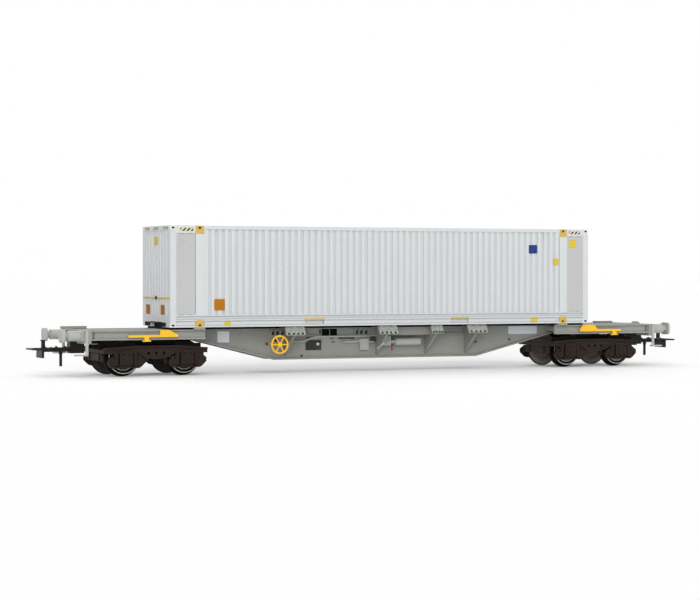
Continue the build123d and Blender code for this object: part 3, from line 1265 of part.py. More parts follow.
FRONT_OUTER_X = -HALF_LENGTH + WALL_SET_BACK
FRONT_INNER_X = FRONT_OUTER_X + WALL_THICKNESS
with BuildPart() as front_wall:
    front_line = flute_line(
        -POST_INNER_Y,
        POST_INNER_Y,
        END_FLUTE_PITCH,
        END_FLUTE_FLAT,
        END_FLUTE_SLOPE,
        END_FLUTE_DEPTH,
    )
    with BuildSketch(Plane.XY.offset(RAIL_TOP_Z)):
        with BuildLine():
            Polyline(
                *[(FRONT_OUTER_X + inward, y) for y, inward in front_line],
                (FRONT_INNER_X, POST_INNER_Y),
                (FRONT_INNER_X, -POST_INNER_Y),
                close=True,
            )
        make_face()
    extrude(amount=HEADER_Z - RAIL_TOP_Z)
write_part(front_wall, "container_front_wall")

ROOF_Z = CONTAINER_TOP - ROOF_DROP
with BuildPart() as roof:
    roof_line = flute_line(
        -POST_INNER_X,
        POST_INNER_X,
        ROOF_FLUTE_PITCH,
        ROOF_FLUTE_FLAT,
        ROOF_FLUTE_SLOPE,
        ROOF_FLUTE_DEPTH,
    )
    with BuildSketch(Plane.XZ.offset(-POST_INNER_Y)):
        with BuildLine():
            Polyline(
                *[(x, ROOF_Z - inward) for x, inward in roof_line],
                (POST_INNER_X, ROOF_Z - ROOF_THICKNESS),
                (-POST_INNER_X, ROOF_Z - ROOF_THICKNESS),
                close=True,
            )
        make_face()
    extrude(amount=2 * POST_INNER_Y)
write_part(roof, "container_roof")

# Floor on its cross bearers, cleared for the tunnel at the front
FLOOR_Z = CONTAINER_Z + FLOOR_RISE
BEARER_COUNT = int(2 * POST_INNER_X // BEARER_SPACING)
with BuildPart() as floor:
    corner_box(
        (-POST_INNER_X, POST_INNER_X),
        (-POST_INNER_Y, POST_INNER_Y),
        (FLOOR_Z, FLOOR_Z + FLOOR_THICKNESS),
    )
    with Locations((0, 0, FLOOR_Z)):
        with GridLocations(BEARER_SPACING, 0, BEARER_COUNT, 1):
            Box(
                BEARER_LENGTH,
                2 * POST_INNER_Y,
                BEARER_HEIGHT,
                align=(Align.CENTER, Align.CENTER, Align.MAX),
            )
    corner_box(
        (-POST_INNER_X, -HALF_LENGTH + TUNNEL_LENGTH),
        (-TUNNEL_HALF_WIDTH, TUNNEL_HALF_WIDTH),
        (FLOOR_Z - BEARER_HEIGHT, FLOOR_Z),
        mode=Mode.SUBTRACT,
    )
write_part(floor, "container_floor")

# Door leaves, with pressed grooves, and their lock rods
DOOR_FACE_X = HALF_LENGTH - DOOR_SET_BACK
DOOR_BACK_X = DOOR_FACE_X - DOOR_THICKNESS
DOOR_LOW_Z = DOOR_SILL_TOP + DOOR_GAP
DOOR_HIGH_Z = HEADER_Z - DOOR_GAP
GROOVE_SPACING = (DOOR_HIGH_Z - DOOR_LOW_Z) / (DOOR_GROOVES + 1)
with BuildPart() as door:
    corner_box(
        (DOOR_BACK_X, DOOR_FACE_X),
        (-POST_INNER_Y + DOOR_GAP, -DOOR_GAP),
        (DOOR_LOW_Z, DOOR_HIGH_Z),
    )
    for groove in range(1, DOOR_GROOVES + 1):
        with Locations((DOOR_FACE_X, -POST_INNER_Y / 2, DOOR_LOW_Z + groove * GROOVE_SPACING)):
            Box(
                DOOR_GROOVE_DEPTH,
                POST_INNER_Y - 2 * DOOR_GROOVE_HEIGHT,
                DOOR_GROOVE_HEIGHT,
                align=(Align.MAX, Align.CENTER, Align.CENTER),
                mode=Mode.SUBTRACT,
            )
write_pair(door, "container_door", Plane.XZ, "near", "far")

LOCK_ROD_X = DOOR_FACE_X + LOCK_ROD_RADIUS + DOOR_GAP / 2
with BuildPart() as lock_rods:
    for rod_y in LOCK_ROD_Y:
        with BuildSketch(Plane.XY.offset(DOOR_SILL_TOP)):
            with Locations((LOCK_ROD_X, -rod_y)):
                Circle(LOCK_ROD_RADIUS)
        extrude(amount=HEADER_Z - DOOR_SILL_TOP)
        for keeper in (1, DOOR_GROOVES):
            keeper_z = DOOR_LOW_Z + (keeper - 1 / 2 + (keeper > 1)) * GROOVE_SPACING
            with Locations((DOOR_FACE_X, -rod_y, keeper_z)):
                Box(
                    LOCK_ROD_RADIUS * 2,
                    LOCK_KEEPER,
                    LOCK_KEEPER,
                    align=(Align.MIN, Align.CENTER, Align.CENTER),
                )
    mirror(about=Plane.XZ)
write_part(lock_rods, "container_lock_rods")
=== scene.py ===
"""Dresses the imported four-axle wagon and its long box, and sets them in a plain white studio.

Every size in the classes is in millimetres of the 1:87 model, in the frame of the CAD.
Blender works in metres.
"""

import logging
import math
from collections.abc import Callable, Iterator, Sequence
from contextlib import contextmanager
from dataclasses import dataclass
from enum import Enum
from itertools import groupby

import bmesh
import bpy
from mathutils import Matrix, Vector


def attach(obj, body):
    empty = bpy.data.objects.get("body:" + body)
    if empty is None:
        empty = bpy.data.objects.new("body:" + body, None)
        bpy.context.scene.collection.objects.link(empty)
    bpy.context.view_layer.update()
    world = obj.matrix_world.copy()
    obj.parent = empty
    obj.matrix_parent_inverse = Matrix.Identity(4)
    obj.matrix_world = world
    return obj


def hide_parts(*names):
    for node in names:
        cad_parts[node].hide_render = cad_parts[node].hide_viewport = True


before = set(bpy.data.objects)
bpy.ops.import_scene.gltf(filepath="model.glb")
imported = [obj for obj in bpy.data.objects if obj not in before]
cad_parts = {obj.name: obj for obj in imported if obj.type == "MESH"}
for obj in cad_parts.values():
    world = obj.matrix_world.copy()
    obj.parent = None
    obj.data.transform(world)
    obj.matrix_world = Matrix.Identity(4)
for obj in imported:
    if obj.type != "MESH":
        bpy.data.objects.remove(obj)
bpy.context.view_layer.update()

LOG = logging.getLogger("scene")
MM = 0.001
SMOOTH_ANGLE = math.radians(35.0)
# The bogies' pivots lie this far from the wagon's middle, and the axles this far from the pivots
PIVOT_X = 82.5
AXLES = (-10.4, 10.4)
AXLE_Z = 6.05
# The ribs on the girder's web stand in two groups, with a dark pocket of painted shade between each two ribs
RIB_GROUPS = (-36.65, -5.6)
RIB_STEPS = (-2.55, -1.05, 0.85, 2.55)
RIB_X = tuple(group + step for group in RIB_GROUPS for step in RIB_STEPS)
POCKET_X = tuple(group + (a + b) / 2 for group in RIB_GROUPS for a, b in zip(RIB_STEPS, RIB_STEPS[1:]))

# How strongly the grain flecks the colour, and how far it spreads the roughness
FLECK = 0.12
ROUGH_SPREAD = 0.07
# Where the painted shade and grime in corners start and are full, by the open sky, and where the edges' wear
# and painted highlight do, by the turn of a rounded edge
SHADE_AND_GRIME_SKY = (0.9, 0.3)
WEAR_AND_HIGHLIGHT_TURN = (0.99, 0.75)

Spot = tuple[float, float]
Point = tuple[float, float, float]
Route = tuple[Point, ...]
Colour = tuple[float, float, float, float]
Test = Callable[[Vector, Vector], bool]
Sides = Callable[[Sequence[Matrix]], list[Matrix]]
Piece = bpy.types.Object
Tree = bpy.types.NodeTree
Node = bpy.types.Node
Socket = bpy.types.NodeSocket


class Axis(Enum):
    """The way a round bar lies, as the turn of a cylinder primitive that stands on Z."""

    X = (0.0, math.pi / 2, 0.0)
    Y = (math.pi / 2, 0.0, 0.0)
    Z = (0.0, 0.0, 0.0)


class Element(Enum):
    """What is picked in edit mode."""

    FACE = "FACE"
    EDGE = "EDGE"


class End(Enum):
    """The two ends of the wagon, as the sign of X."""

    LEFT = -1
    RIGHT = 1

    @property
    def word(self) -> str:
        """The end as the CAD names write it."""
        return self.name.lower()


class Slot(Enum):
    """The record's material slots."""

    WAGON = "wagon_grey"
    BUFFER = "buffer_grey"
    BOGIE = "bogie_brown"
    RIM = "wheel_rim"
    DISC = "wheel_disc"
    SCREW = "screw_steel"
    COUPLER = "coupler_black"
    YELLOW = "signal_yellow"
    BOX = "container_grey"
    UNDER = "container_under"
    CASTING = "casting_white"
    FRAME_CASTING = "casting_yellow"


HALF_TURN = Matrix.Rotation(math.pi, 4, "Z")
TO_LEFT_END = Matrix.Rotation(-math.pi / 2, 4, "Z")
TO_RIGHT_END = Matrix.Rotation(math.pi / 2, 4, "Z")
MIRROR_Y = Matrix.Diagonal((1.0, -1.0, 1.0, 1.0))
MIRROR_X = Matrix.Diagonal((-1.0, 1.0, 1.0, 1.0))
BOTH_WAYS = (Matrix.Identity(4), HALF_TURN)


def shift(x: float, y: float, z: float) -> Matrix:
    """A move to a place in millimetres."""
    return Matrix.Translation(Vector((x, y, z)) * MM)


def near_and_far(places: Sequence[Matrix]) -> list[Matrix]:
    """The places on the near side and the same ones half a turn round, on the far side."""
    return [*places, *(HALF_TURN @ place for place in places)]


def mirrored(places: Sequence[Matrix]) -> list[Matrix]:
    """The places on one side and their mirror images on the other side."""
    return [*places, *(MIRROR_Y @ place for place in places)]


def to_left_end(places: Sequence[Matrix]) -> list[Matrix]:
    """Turns places on the near side to the left end."""
    return [TO_LEFT_END @ place for place in places]


def in_row(z: float, *along: float) -> tuple[Spot, ...]:
    """Spots at one height."""
    return tuple((x, z) for x in along)


def outward(at: Vector, normal: Vector) -> bool:
    """Picks the faces that look at the viewer's side, along -Y."""
    return normal.y < -0.9


def rightward(at: Vector, normal: Vector) -> bool:
    """Picks the faces that look along +X."""
    return normal.x > 0.9


def upward(at: Vector, normal: Vector) -> bool:
    """Picks the faces that look up."""
    return normal.z > 0.9


def downward(at: Vector, normal: Vector) -> bool:
    """Picks the faces that look down."""
    return normal.z < -0.9


def everything(at: Vector, along: Vector) -> bool:
    """Picks all faces or edges."""
    return True


def outward_edge(at: Vector, along: Vector) -> bool:
    """Picks the edges of a plate's outer face, which stand a little towards -Y."""
    return abs(along.y) < 0.5 and at.y < 0.0


def along_y(at: Vector, along: Vector) -> bool:
    """Picks the edges that run along Y, the corners of a plate."""
    return abs(along.y) > 0.9


def make_active(piece: Piece) -> None:
    """Selects one object alone, so that operators act on nothing else."""
    bpy.ops.object.select_all(action="DESELECT")
    piece.select_set(True)
    bpy.context.view_layer.objects.active = piece


@contextmanager
def edit(piece: Piece, element: Element, test: Test) -> Iterator[None]:
    """Opens a piece in edit mode with some of its faces or edges selected, and closes it after the work.

    Args:
        piece: The object that is shaped.
        element: Whether faces or edges are picked.
        test: Takes a middle in millimetres and a normal or direction, and says whether it is picked.
    """
    make_active(piece)
    bpy.ops.object.mode_set(mode="EDIT")
    bpy.ops.mesh.select_mode(type=element.value)
    bpy.ops.mesh.select_all(action="DESELECT")
    shape = bmesh.from_edit_mesh(piece.data)
    if element is Element.FACE:
        for face in shape.faces:
            face.select_set(test(face.calc_center_median() / MM, face.normal))
    else:
        for edge in shape.edges:
            first, last = (corner.co for corner in edge.verts)
            edge.select_set(test((first + last) / 2 / MM, (last - first).normalized()))
    shape.select_flush_mode()
    bmesh.update_edit_mesh(piece.data)
    yield
    bpy.ops.object.mode_set(mode="OBJECT")


def start_block(low: Point, high: Point) -> Piece:
    """Adds a cube and brings it to the box between two corners.

    Args:
        low: The lowest corner in millimetres.
        high: The highest corner in millimetres.

    Returns:
        The block, with its place in its mesh.
    """
    bpy.ops.object.select_all(action="DESELECT")
    middle = [(a + b) / 2 * MM for a, b in zip(low, high)]
    bpy.ops.mesh.primitive_cube_add(size=1.0, location=middle)
    piece = bpy.context.object
    piece.scale = [(b - a) * MM for a, b in zip(low, high)]
    bpy.ops.object.transform_apply(location=True, rotation=True, scale=True)
    return piece


def start_drum(middle: Point, radius: float, length: float, axis: Axis, sides: int) -> Piece:
    """Adds a cylinder of a size at a place.

    Args:
        middle: Its middle in millimetres.
        radius: Its radius in millimetres.
        length: Its length in millimetres.
        axis: The way it lies.
        sides: How many sides it has.

    Returns:
        The drum, with its place in its mesh.
    """
    bpy.ops.object.select_all(action="DESELECT")
    bpy.ops.mesh.primitive_cylinder_add(
        vertices=sides,
        radius=radius * MM,
        depth=length * MM,
        location=Vector(middle) * MM,
        rotation=axis.value,
    )
    bpy.ops.object.transform_apply(location=True, rotation=True, scale=True)
    return bpy.context.object


def round_edges(piece: Piece, width: float, steps: int = 2, test: Test = everything) -> Piece:
    """Rounds the picked edges of a piece.

    Args:
        piece: The object.
        width: How far the rounding reaches, in millimetres.
        steps: Its number of facets.
        test: Picks the edges.

    Returns:
        The same piece.
    """
    with edit(piece, Element.EDGE, test):
        bpy.ops.mesh.bevel(offset=width * MM, segments=steps, affect="EDGES", clamp_overlap=True)
    return piece


def press(piece: Piece, border: float, depth: float, test: Test = outward) -> Piece:
    """Insets the picked faces of a piece.

    Args:
        piece: The object.
        border: The width of the border that is left round each face, in millimetres.
        depth: How far the field stands out, or is pressed in where this is below nought.
        test: Picks the faces.

    Returns:
        The same piece.
    """
    with edit(piece, Element.FACE, test):
        bpy.ops.mesh.inset(thickness=border * MM, depth=depth * MM)
    return piece


def hollow(piece: Piece, border: float) -> Piece:
    """Opens a piece from front to back, so that a border is left round the hole."""
    with edit(piece, Element.FACE, lambda at, normal: abs(normal.y) > 0.9):
        bpy.ops.mesh.inset(thickness=border * MM)
        bpy.ops.mesh.bridge_edge_loops()
    return piece


def join(parts: Sequence[Piece]) -> Piece:
    """Joins shapes to one object, the first of them."""
    bpy.ops.object.select_all(action="DESELECT")
    for part in parts:
        part.select_set(True)
    bpy.context.view_layer.objects.active = parts[0]
    if len(parts) > 1:
        bpy.ops.object.join()
    return parts[0]


def repeat(model: Piece, places: Sequence[Matrix]) -> Piece:
    """Copies a shape to each place, each copy with a mesh of its own, and joins the copies.

    Args:
        model: The shape, modelled once at the origin. It is used up.
        places: Where each copy goes, mirrored places included.

    Returns:
        One object with all the copies.
    """
    copies = []
    for place in places:
        mesh = model.data.copy()
        mesh.transform(place)
        if place.determinant() < 0:
            mesh.flip_normals()
        copy = bpy.data.objects.new(model.name, mesh)
        bpy.context.collection.objects.link(copy)
        copies.append(copy)
    bpy.data.objects.remove(model)
    return join(copies)


def rounded_strip(width: float, height: float, thickness: float, edge: float) -> Piece:
    """A flat strip that faces -Y with its back on the origin, all its edges rounded."""
    piece = start_block((-width / 2, -thickness, -height / 2), (width / 2, 0.0, height / 2))
    return round_edges(piece, edge)


def framed_plate(width: float, height: float, thickness: float, border: float, corner: float) -> Piece:
    """A plate that faces -Y with its back on the origin.

    Args:
        width: Its length along X.
        height: Its height along Z.
        thickness: How far it stands out.
        border: The width of the raised edge round its field.
        corner: The radius of its corners, which is never so small that the border crosses itself.

    Returns:
        The plate, with its field pressed in by a third of its thickness.
    """
    piece = start_block((-width / 2, -thickness, -height / 2), (width / 2, 0.0, height / 2))
    round_edges(piece, max(corner, border * 1.2), 3, along_y)
    return press(piece, border, -thickness / 3)


def hex_bolt(radius: float, height: float) -> Piece:
    """A bolt head on its washer that faces -Y, its top edge chamfered."""
    washer = start_drum((0.0, -height / 6, 0.0), radius * 1.4, height / 3, Axis.Y, 12)
    head = start_drum((0.0, -height / 2, 0.0), radius, height, Axis.Y, 6)
    return join([press(washer, radius * 0.2, height / 8), press(head, radius * 0.25, height / 4)])


def stud(radius: float, height: float, border: float, depth: float, sides: int = 18) -> Piece:
    """A round stud that faces -Y with its back on the origin, its face inset."""
    return press(start_drum((0.0, -height / 2, 0.0), radius, height, Axis.Y, sides), border, depth)


def ring(outer: float, inner: float, length: float, sides: int) -> Piece:
    """A ring on the Y axis that stands out from the origin towards -Y.

    Args:
        outer: Its outer radius.
        inner: The radius of its hole.
        length: How far it stands out.
        sides: How many sides it has.

    Returns:
        The ring, with the two rims of its hole bridged.
    """
    return hollow(start_drum((0.0, -length / 2, 0.0), outer, length, Axis.Y, sides), outer - inner)


def bent_rod(points: Sequence[Point], radius: float) -> Piece:
    """A round rod through some points, closed at its ends.

    Args:
        points: The points in millimetres.
        radius: The rod's radius in millimetres.

    Returns:
        The rod as a mesh.
    """
    line = bpy.data.curves.new("rod", "CURVE")
    line.dimensions = "3D"
    line.bevel_depth = radius * MM
    line.bevel_resolution = 2
    line.use_fill_caps = True
    spline = line.splines.new("POLY")
    spline.points.add(len(points) - 1)
    for knot, point in zip(spline.points, points):
        knot.co = (*(Vector(point) * MM), 1.0)
    piece = bpy.data.objects.new("rod", line)
    bpy.context.collection.objects.link(piece)
    make_active(piece)
    bpy.ops.object.convert(target="MESH")
    return bpy.context.object


def linear(code: str) -> Colour:
    """Turns an sRGB hex colour into the linear colour that Blender's sockets take."""
    parts = [int(code[at : at + 2], 16) / 255 for at in (0, 2, 4)]
    rgb = [part / 12.92 if part <= 0.04045 else ((part + 0.055) / 1.055) ** 2.4 for part in parts]
    return (rgb[0], rgb[1], rgb[2], 1.0)


def waves(size: float) -> float:
    """The scale at which a texture's features are a size in millimetres."""
    return 1.0 / (size * MM)


def blank_tree(owner: bpy.types.Material | bpy.types.World) -> Tree:
    """Turns on the nodes of a material or a world and clears them."""
    owner.use_nodes = True
    owner.node_tree.nodes.clear()
    return owner.node_tree


def add_node(
    tree: Tree, kind: str, inputs: dict[str | int, object] | None = None, **settings: object
) -> Node:
    """Adds a node with its settings and links.

    Args:
        tree: The node tree.
        kind: The node's type.
        inputs: A value, or the output socket that is linked, for each input by name or number.
        **settings: The node's own properties.

    Returns:
        The node.
    """
    node = tree.nodes.new(kind)
    for name, value in settings.items():
        setattr(node, name, value)
    for name, value in (inputs or {}).items():
        if isinstance(value, Socket):
            tree.links.new(value, node.inputs[name])
        else:
            node.inputs[name].default_value = value
    return node


def reckon(tree: Tree, operation: str, *values: Socket | float) -> Socket:
    """Does one sum with one or two values."""
    return add_node(tree, "ShaderNodeMath", dict(enumerate(values)), operation=operation).outputs[0]


def remap(tree: Tree, value: Socket, source: Spot, target: Spot = (0.0, 1.0)) -> Socket:
    """Takes a value from one range to another and stops it at the ends."""
    inputs = {"Value": value, "From Min": source[0], "From Max": source[1]}
    inputs |= {"To Min": target[0], "To Max": target[1]}
    return add_node(tree, "ShaderNodeMapRange", inputs).outputs["Result"]


def mix(
    tree: Tree, share: Socket | float, first: Socket | Colour, last: Socket | Colour, blend: str = "MIX"
) -> Socket:
    """Blends the last colour over the first by a share. The node's colour sockets go by number."""
    inputs = {0: share, 6: first, 7: last}
    return add_node(tree, "ShaderNodeMix", inputs, data_type="RGBA", blend_type=blend).outputs[2]


@dataclass(frozen=True)
class Finish:
    """A moulded or sprayed surface: a cloud of tone, a fine grain, painted shade and grime in its corners,
    and paler edges that are partly wear and partly a painted highlight.
    """

    name: str
    slot: Slot
    colour: str
    shade: str
    # The colour of rounded edges: partly wear, partly a painted highlight
    edge: str
    # The colour of shut-in corners: painted shade, with grime
    shade_and_grime: str
    roughness: float
    cloud: float = 9.0
    grain: float = 0.7
    relief: float = 0.012
    rounding: float = 0.14
    wear_and_highlight: float = 0.5
    shade_and_grime_depth: float = 0.35
    reach: float = 1.0
    gloss: float = 0.35

    def material(self) -> bpy.types.Material:
        """The finish's material, drawn the first time that it is asked for."""
        made = bpy.data.materials.get(self.name)
        if made is None:
            made = bpy.data.materials.new(self.name)
            self.draw(blank_tree(made))
        return made

    def body_colour(self, tree: Tree, coords: Socket, cloud: Socket) -> Socket:
        """The colour of the material itself, before the painted shade and grime in corners and the wear and
        painted highlight on edges.

        Args:
            tree: The node tree.
            coords: Object coordinates.
            cloud: A slow noise from 0 to 1.

        Returns:
            The colour's socket.
        """
        return mix(tree, cloud, linear(self.shade), linear(self.colour))

    def height(self, tree: Tree, coords: Socket, grain: Socket) -> Socket:
        """The relief of the surface, from 0 to 1: here the grain of the mould or the spray."""
        return grain

    def draw(self, tree: Tree) -> None:
        """Draws the nodes.

        Args:
            tree: The empty node tree of the material.
        """
        coords = add_node(tree, "ShaderNodeTexCoord").outputs["Object"]
        slow = {"Vector": coords, "Scale": waves(self.cloud), "Detail": 2.0}
        cloud = add_node(tree, "ShaderNodeTexNoise", slow).outputs["Fac"]
        fine = {"Vector": coords, "Scale": waves(self.grain), "Detail": 3.0}
        grain = add_node(tree, "ShaderNodeTexNoise", fine).outputs["Fac"]
        body = mix(tree, FLECK, self.body_colour(tree, coords, cloud), grain, "OVERLAY")
        # Painted shade with grime: corners that the AO node finds shut in are darkened towards the corner
        # colour
        near = {"Distance": self.reach * MM}
        sky = add_node(tree, "ShaderNodeAmbientOcclusion", near, samples=4, only_local=True).outputs["AO"]
        corner = remap(tree, sky, SHADE_AND_GRIME_SKY, (0.0, self.shade_and_grime_depth))
        body = mix(tree, corner, body, linear(self.shade_and_grime))
        # Painted highlight with wear: edges that the Bevel node rounds are lightened towards the edge colour
        radius = {"Radius": self.rounding * MM}
        rounded = add_node(tree, "ShaderNodeBevel", radius, samples=4).outputs["Normal"]
        plain = add_node(tree, "ShaderNodeNewGeometry").outputs["Normal"]
        both = {0: rounded, 1: plain}
        turn = add_node(tree, "ShaderNodeVectorMath", both, operation="DOT_PRODUCT").outputs["Value"]
        wear_and_highlight_mask = remap(tree, turn, WEAR_AND_HIGHLIGHT_TURN, (0.0, self.wear_and_highlight))
        body = mix(tree, wear_and_highlight_mask, body, linear(self.edge))
        span = (self.roughness - ROUGH_SPREAD, self.roughness + ROUGH_SPREAD)
        rough = remap(tree, grain, (0.0, 1.0), span)
        relief = {
            "Height": self.height(tree, coords, grain),
            "Distance": self.relief * MM,
            "Strength": 1.0,
            "Normal": rounded,
        }
        normal = add_node(tree, "ShaderNodeBump", relief).outputs["Normal"]
        self.shader(tree, body, rough, normal)

    def shader(self, tree: Tree, colour: Socket, rough: Socket, normal: Socket) -> None:
        """Closes the tree with the surface's shader."""
        surface = {"Base Color": colour, "Roughness": rough, "Normal": normal}
        surface["Specular IOR Level"] = self.gloss
        skin = add_node(tree, "ShaderNodeBsdfPrincipled", surface).outputs["BSDF"]
        add_node(tree, "ShaderNodeOutputMaterial", {"Surface": skin})


@dataclass(frozen=True)
class Stippled(Finish):
    """A finish with a raised stipple of small round pips, with painted highlight on their tops."""

    pip: float = 0.9
    slope: Spot = (0.45, 0.1)

    def height(self, tree: Tree, coords: Socket, grain: Socket) -> Socket:
        """The pips of the stipple, as round cells."""
        cells = {"Vector": coords, "Scale": waves(self.pip), "Randomness": 0.6}
        away = add_node(tree, "ShaderNodeTexVoronoi", cells, feature="SMOOTH_F1").outputs["Distance"]
        return remap(tree, away, self.slope)

    def body_colour(self, tree: Tree, coords: Socket, cloud: Socket) -> Socket:
        """Painted highlight and shade: the pips' tops in the light tone and the ground between them in the
        dark one.
        """
        return mix(tree, self.height(tree, coords, cloud), linear(self.shade), linear(self.colour))


@dataclass(frozen=True)
class Striped(Finish):
    """A printed warning band: slanting stripes of two inks, one repeat every few millimetres."""

    second: str = "1d1c18"
    stripe: float = 1.5

    def body_colour(self, tree: Tree, coords: Socket, cloud: Socket) -> Socket:
        """The stripes, which slant at 45 degrees on the sides and on the ends."""
        split = add_node(tree, "ShaderNodeSeparateXYZ", {0: coords}).outputs
        slant = reckon(tree, "SUBTRACT", reckon(tree, "ADD", split["X"], split["Y"]), split["Z"])
        part = reckon(tree, "FRACT", reckon(tree, "MULTIPLY", slant, waves(self.stripe)))
        dark = reckon(tree, "GREATER_THAN", part, 0.5)
        return mix(tree, dark, linear(self.colour), linear(self.second))


@dataclass(frozen=True)
class Metal(Finish):
    """A bare or blackened metal, turned on a lathe: fine rings round the axle that it belongs to."""

    pitch: float = 0.35

    def height(self, tree: Tree, coords: Socket, grain: Socket) -> Socket:
        """The lathe's rings. The four axles lie alike about the two pivots, so X is folded onto one axle."""
        split = add_node(tree, "ShaderNodeSeparateXYZ", {0: coords}).outputs
        across = split["X"]
        for middle in (PIVOT_X, AXLES[1]):
            across = reckon(tree, "SUBTRACT", reckon(tree, "ABSOLUTE", across), middle * MM)
        up = reckon(tree, "SUBTRACT", split["Z"], AXLE_Z * MM)
        flat = add_node(tree, "ShaderNodeCombineXYZ", {"X": across, "Y": up}).outputs[0]
        radius = add_node(tree, "ShaderNodeVectorMath", {0: flat}, operation="LENGTH").outputs["Value"]
        return reckon(tree, "PINGPONG", reckon(tree, "MULTIPLY", radius, waves(self.pitch)), 1.0)

    def shader(self, tree: Tree, colour: Socket, rough: Socket, normal: Socket) -> None:
        """Closes the tree with a metal's shader."""
        surface = {"Base Color": colour, "Roughness": rough, "Normal": normal, "Metallic": 1.0}
        skin = add_node(tree, "ShaderNodeBsdfPrincipled", surface).outputs["BSDF"]
        add_node(tree, "ShaderNodeOutputMaterial", {"Surface": skin})


# Die-cast zinc, sprayed matt: an even warm grey with a powdery grain, paler on edges with wear and painted
# highlight, darker in corners with painted shade.
FRAME_GREY = Finish(
    "sprayed_zinc_casting_grey", Slot.WAGON, "999a94", "90918b", "b4b5af", "55554f", roughness=0.55, grain=0.6
)
# The folding rests are cast with a stipple for grip. Painted highlight: their grey is paler than the frame's
# and mottled, lighter on the pips' tops, for the light that the pips catch.
FLAP_GREY_HIGHLIT = Stippled(
    "stippled_zinc_casting_grey", Slot.WAGON, "b9bab3", "8f908a", "c9cac4", "5c5c57",
    roughness=0.5, relief=0.05,
)
# Self-coloured acetal, moulded smooth: a cool light grey with a waxy sheen.
BUFFER_GREY = Finish(
    "moulded_acetal_light_grey", Slot.BUFFER, "b1b4af", "a7aaa5", "c9cbc7", "6a6b67",
    roughness=0.38, grain=0.5,
)
# Self-coloured ABS, moulded: a warm yellow that pales at its thin edges, partly with a painted highlight.
SIGNAL_YELLOW = Finish(
    "moulded_abs_yellow", Slot.YELLOW, "f6c42f", "ecb524", "fbdb7a", "8a671e", roughness=0.36, grain=0.5
)
# Glass-filled polyamide, moulded: nearly black brown, dry, with edges paler from dust and painted highlight,
# which show its many small forms.
BOGIE_BROWN = Finish(
    "moulded_polyamide_brown", Slot.BOGIE, "2d231d", "241b16", "54463b", "0f0c0a",
    roughness=0.55, grain=0.5, gloss=0.15,
)
# Painted shade: the same polyamide made nearly black for the slots, holes and shields deep in the bogie,
# where no light falls.
BOGIE_SHADE_BLACK = Finish(
    "polyamide_painted_shade_black", Slot.BOGIE, "15110f", "100d0b", "2c2621", "060504", roughness=0.65, gloss=0.08
)
# Brass tyre, blackened: a dark warm metal whose turned rings glint.
TYRE_METAL = Metal(
    "blackened_brass_tyre", Slot.RIM, "1d1916", "171311", "3c3731", "0b0908",
    roughness=0.5, relief=0.008, wear_and_highlight=0.2,
)
# Nickel-plated steel, turned bright.
BRIGHT_METAL = Metal(
    "nickel_plated_steel", Slot.SCREW, "c9c8c4", "b7b6b2", "e6e5e2", "77756f", roughness=0.26, relief=0.006
)
# Moulded wheel centres and axles in the bogies' plastic, greyer with brake dust.
WHEEL_CENTRE = Finish(
    "moulded_wheel_centre_brown", Slot.DISC, "3d3731", "322c28", "6b6359", "161412",
    roughness=0.5, grain=0.5, gloss=0.2,
)
# Painted light: the same moulding in a paler grey, for the right bogie's wheels, which are seen lit.
WHEEL_CENTRE_LIT = Finish(
    "wheel_centre_painted_light_grey", Slot.DISC, "8c8078", "7b7068", "a1968c", "4a433d",
    roughness=0.6, grain=0.5, gloss=0.15,
)
# Acetal for the couplers: black, smooth and a little waxy.
COUPLER_BLACK = Finish(
    "moulded_acetal_black", Slot.COUPLER, "1c1916", "161310", "4a4540", "080706",
    roughness=0.4, grain=0.5, gloss=0.2,
)
# The box: thin ABS walls with a pale sprayed coat, satin, hardly any grain, a little shadowed in the flutes.
BOX_GREY = Finish(
    "sprayed_abs_pale_grey",
    Slot.BOX,
    "d2d5d6",
    "cbcfd0",
    "e4e6e7",
    "7b7d7f",
    roughness=0.42,
    cloud=14.0,
    grain=0.8,
    relief=0.006,
    rounding=0.1,
    wear_and_highlight=0.35,
    shade_and_grime_depth=0.9,
    reach=0.7,
)
# The box's flat end panels: the same coat in a darker, warmer and duller grey.
PANEL_GREY = Finish(
    "sprayed_abs_warm_grey", Slot.BOX, "bebebe", "b7b7b7", "d2d2d2", "848484",
    roughness=0.5, cloud=14.0, relief=0.006,
)
# The box's underside: unpainted grey ABS, dull, with painted shade and grime between its bearers.
FLOOR_GREY = Finish(
    "moulded_abs_floor_grey", Slot.UNDER, "3a3835", "32302e", "55524e", "1a1918", roughness=0.6, grain=0.6
)
# White printing ink on the corner castings.
CASTING_WHITE = Finish(
    "printed_abs_white", Slot.CASTING, "dfe1e1", "d6d8d8", "eceded", "8a8b8b", roughness=0.4, grain=0.5
)
# Yellow printing ink over pale plastic: a greyed ochre, paler at the edges, where the ink is thin, and by a
# painted highlight.
CASTING_YELLOW = Finish(
    "printed_abs_ochre", Slot.FRAME_CASTING, "d0b25f", "c4a552", "dfcd99", "7d6a33", roughness=0.4, grain=0.5
)
# Pad-printed inks lie on the paint with a faint gloss and a slightly uneven film.
INK_ORANGE = Finish(
    "printed_ink_orange", Slot.YELLOW, "b97a1e", "a96a17", "cd9a4a", "6b420f", roughness=0.55, gloss=0.02
)
INK_BLUE = Finish(
    "printed_ink_blue", Slot.BOX, "33427f", "2b3973", "5d69a0", "182049", roughness=0.4, gloss=0.1
)
INK_YELLOW = Finish(
    "printed_ink_yellow", Slot.YELLOW, "e0c238", "d4b42e", "ecd884", "86691a", roughness=0.5, gloss=0.05
)
INK_WHITE = Finish("printed_ink_white", Slot.CASTING, "dde2e8", "d3d8de", "eef0f3", "8d9196", roughness=0.36)
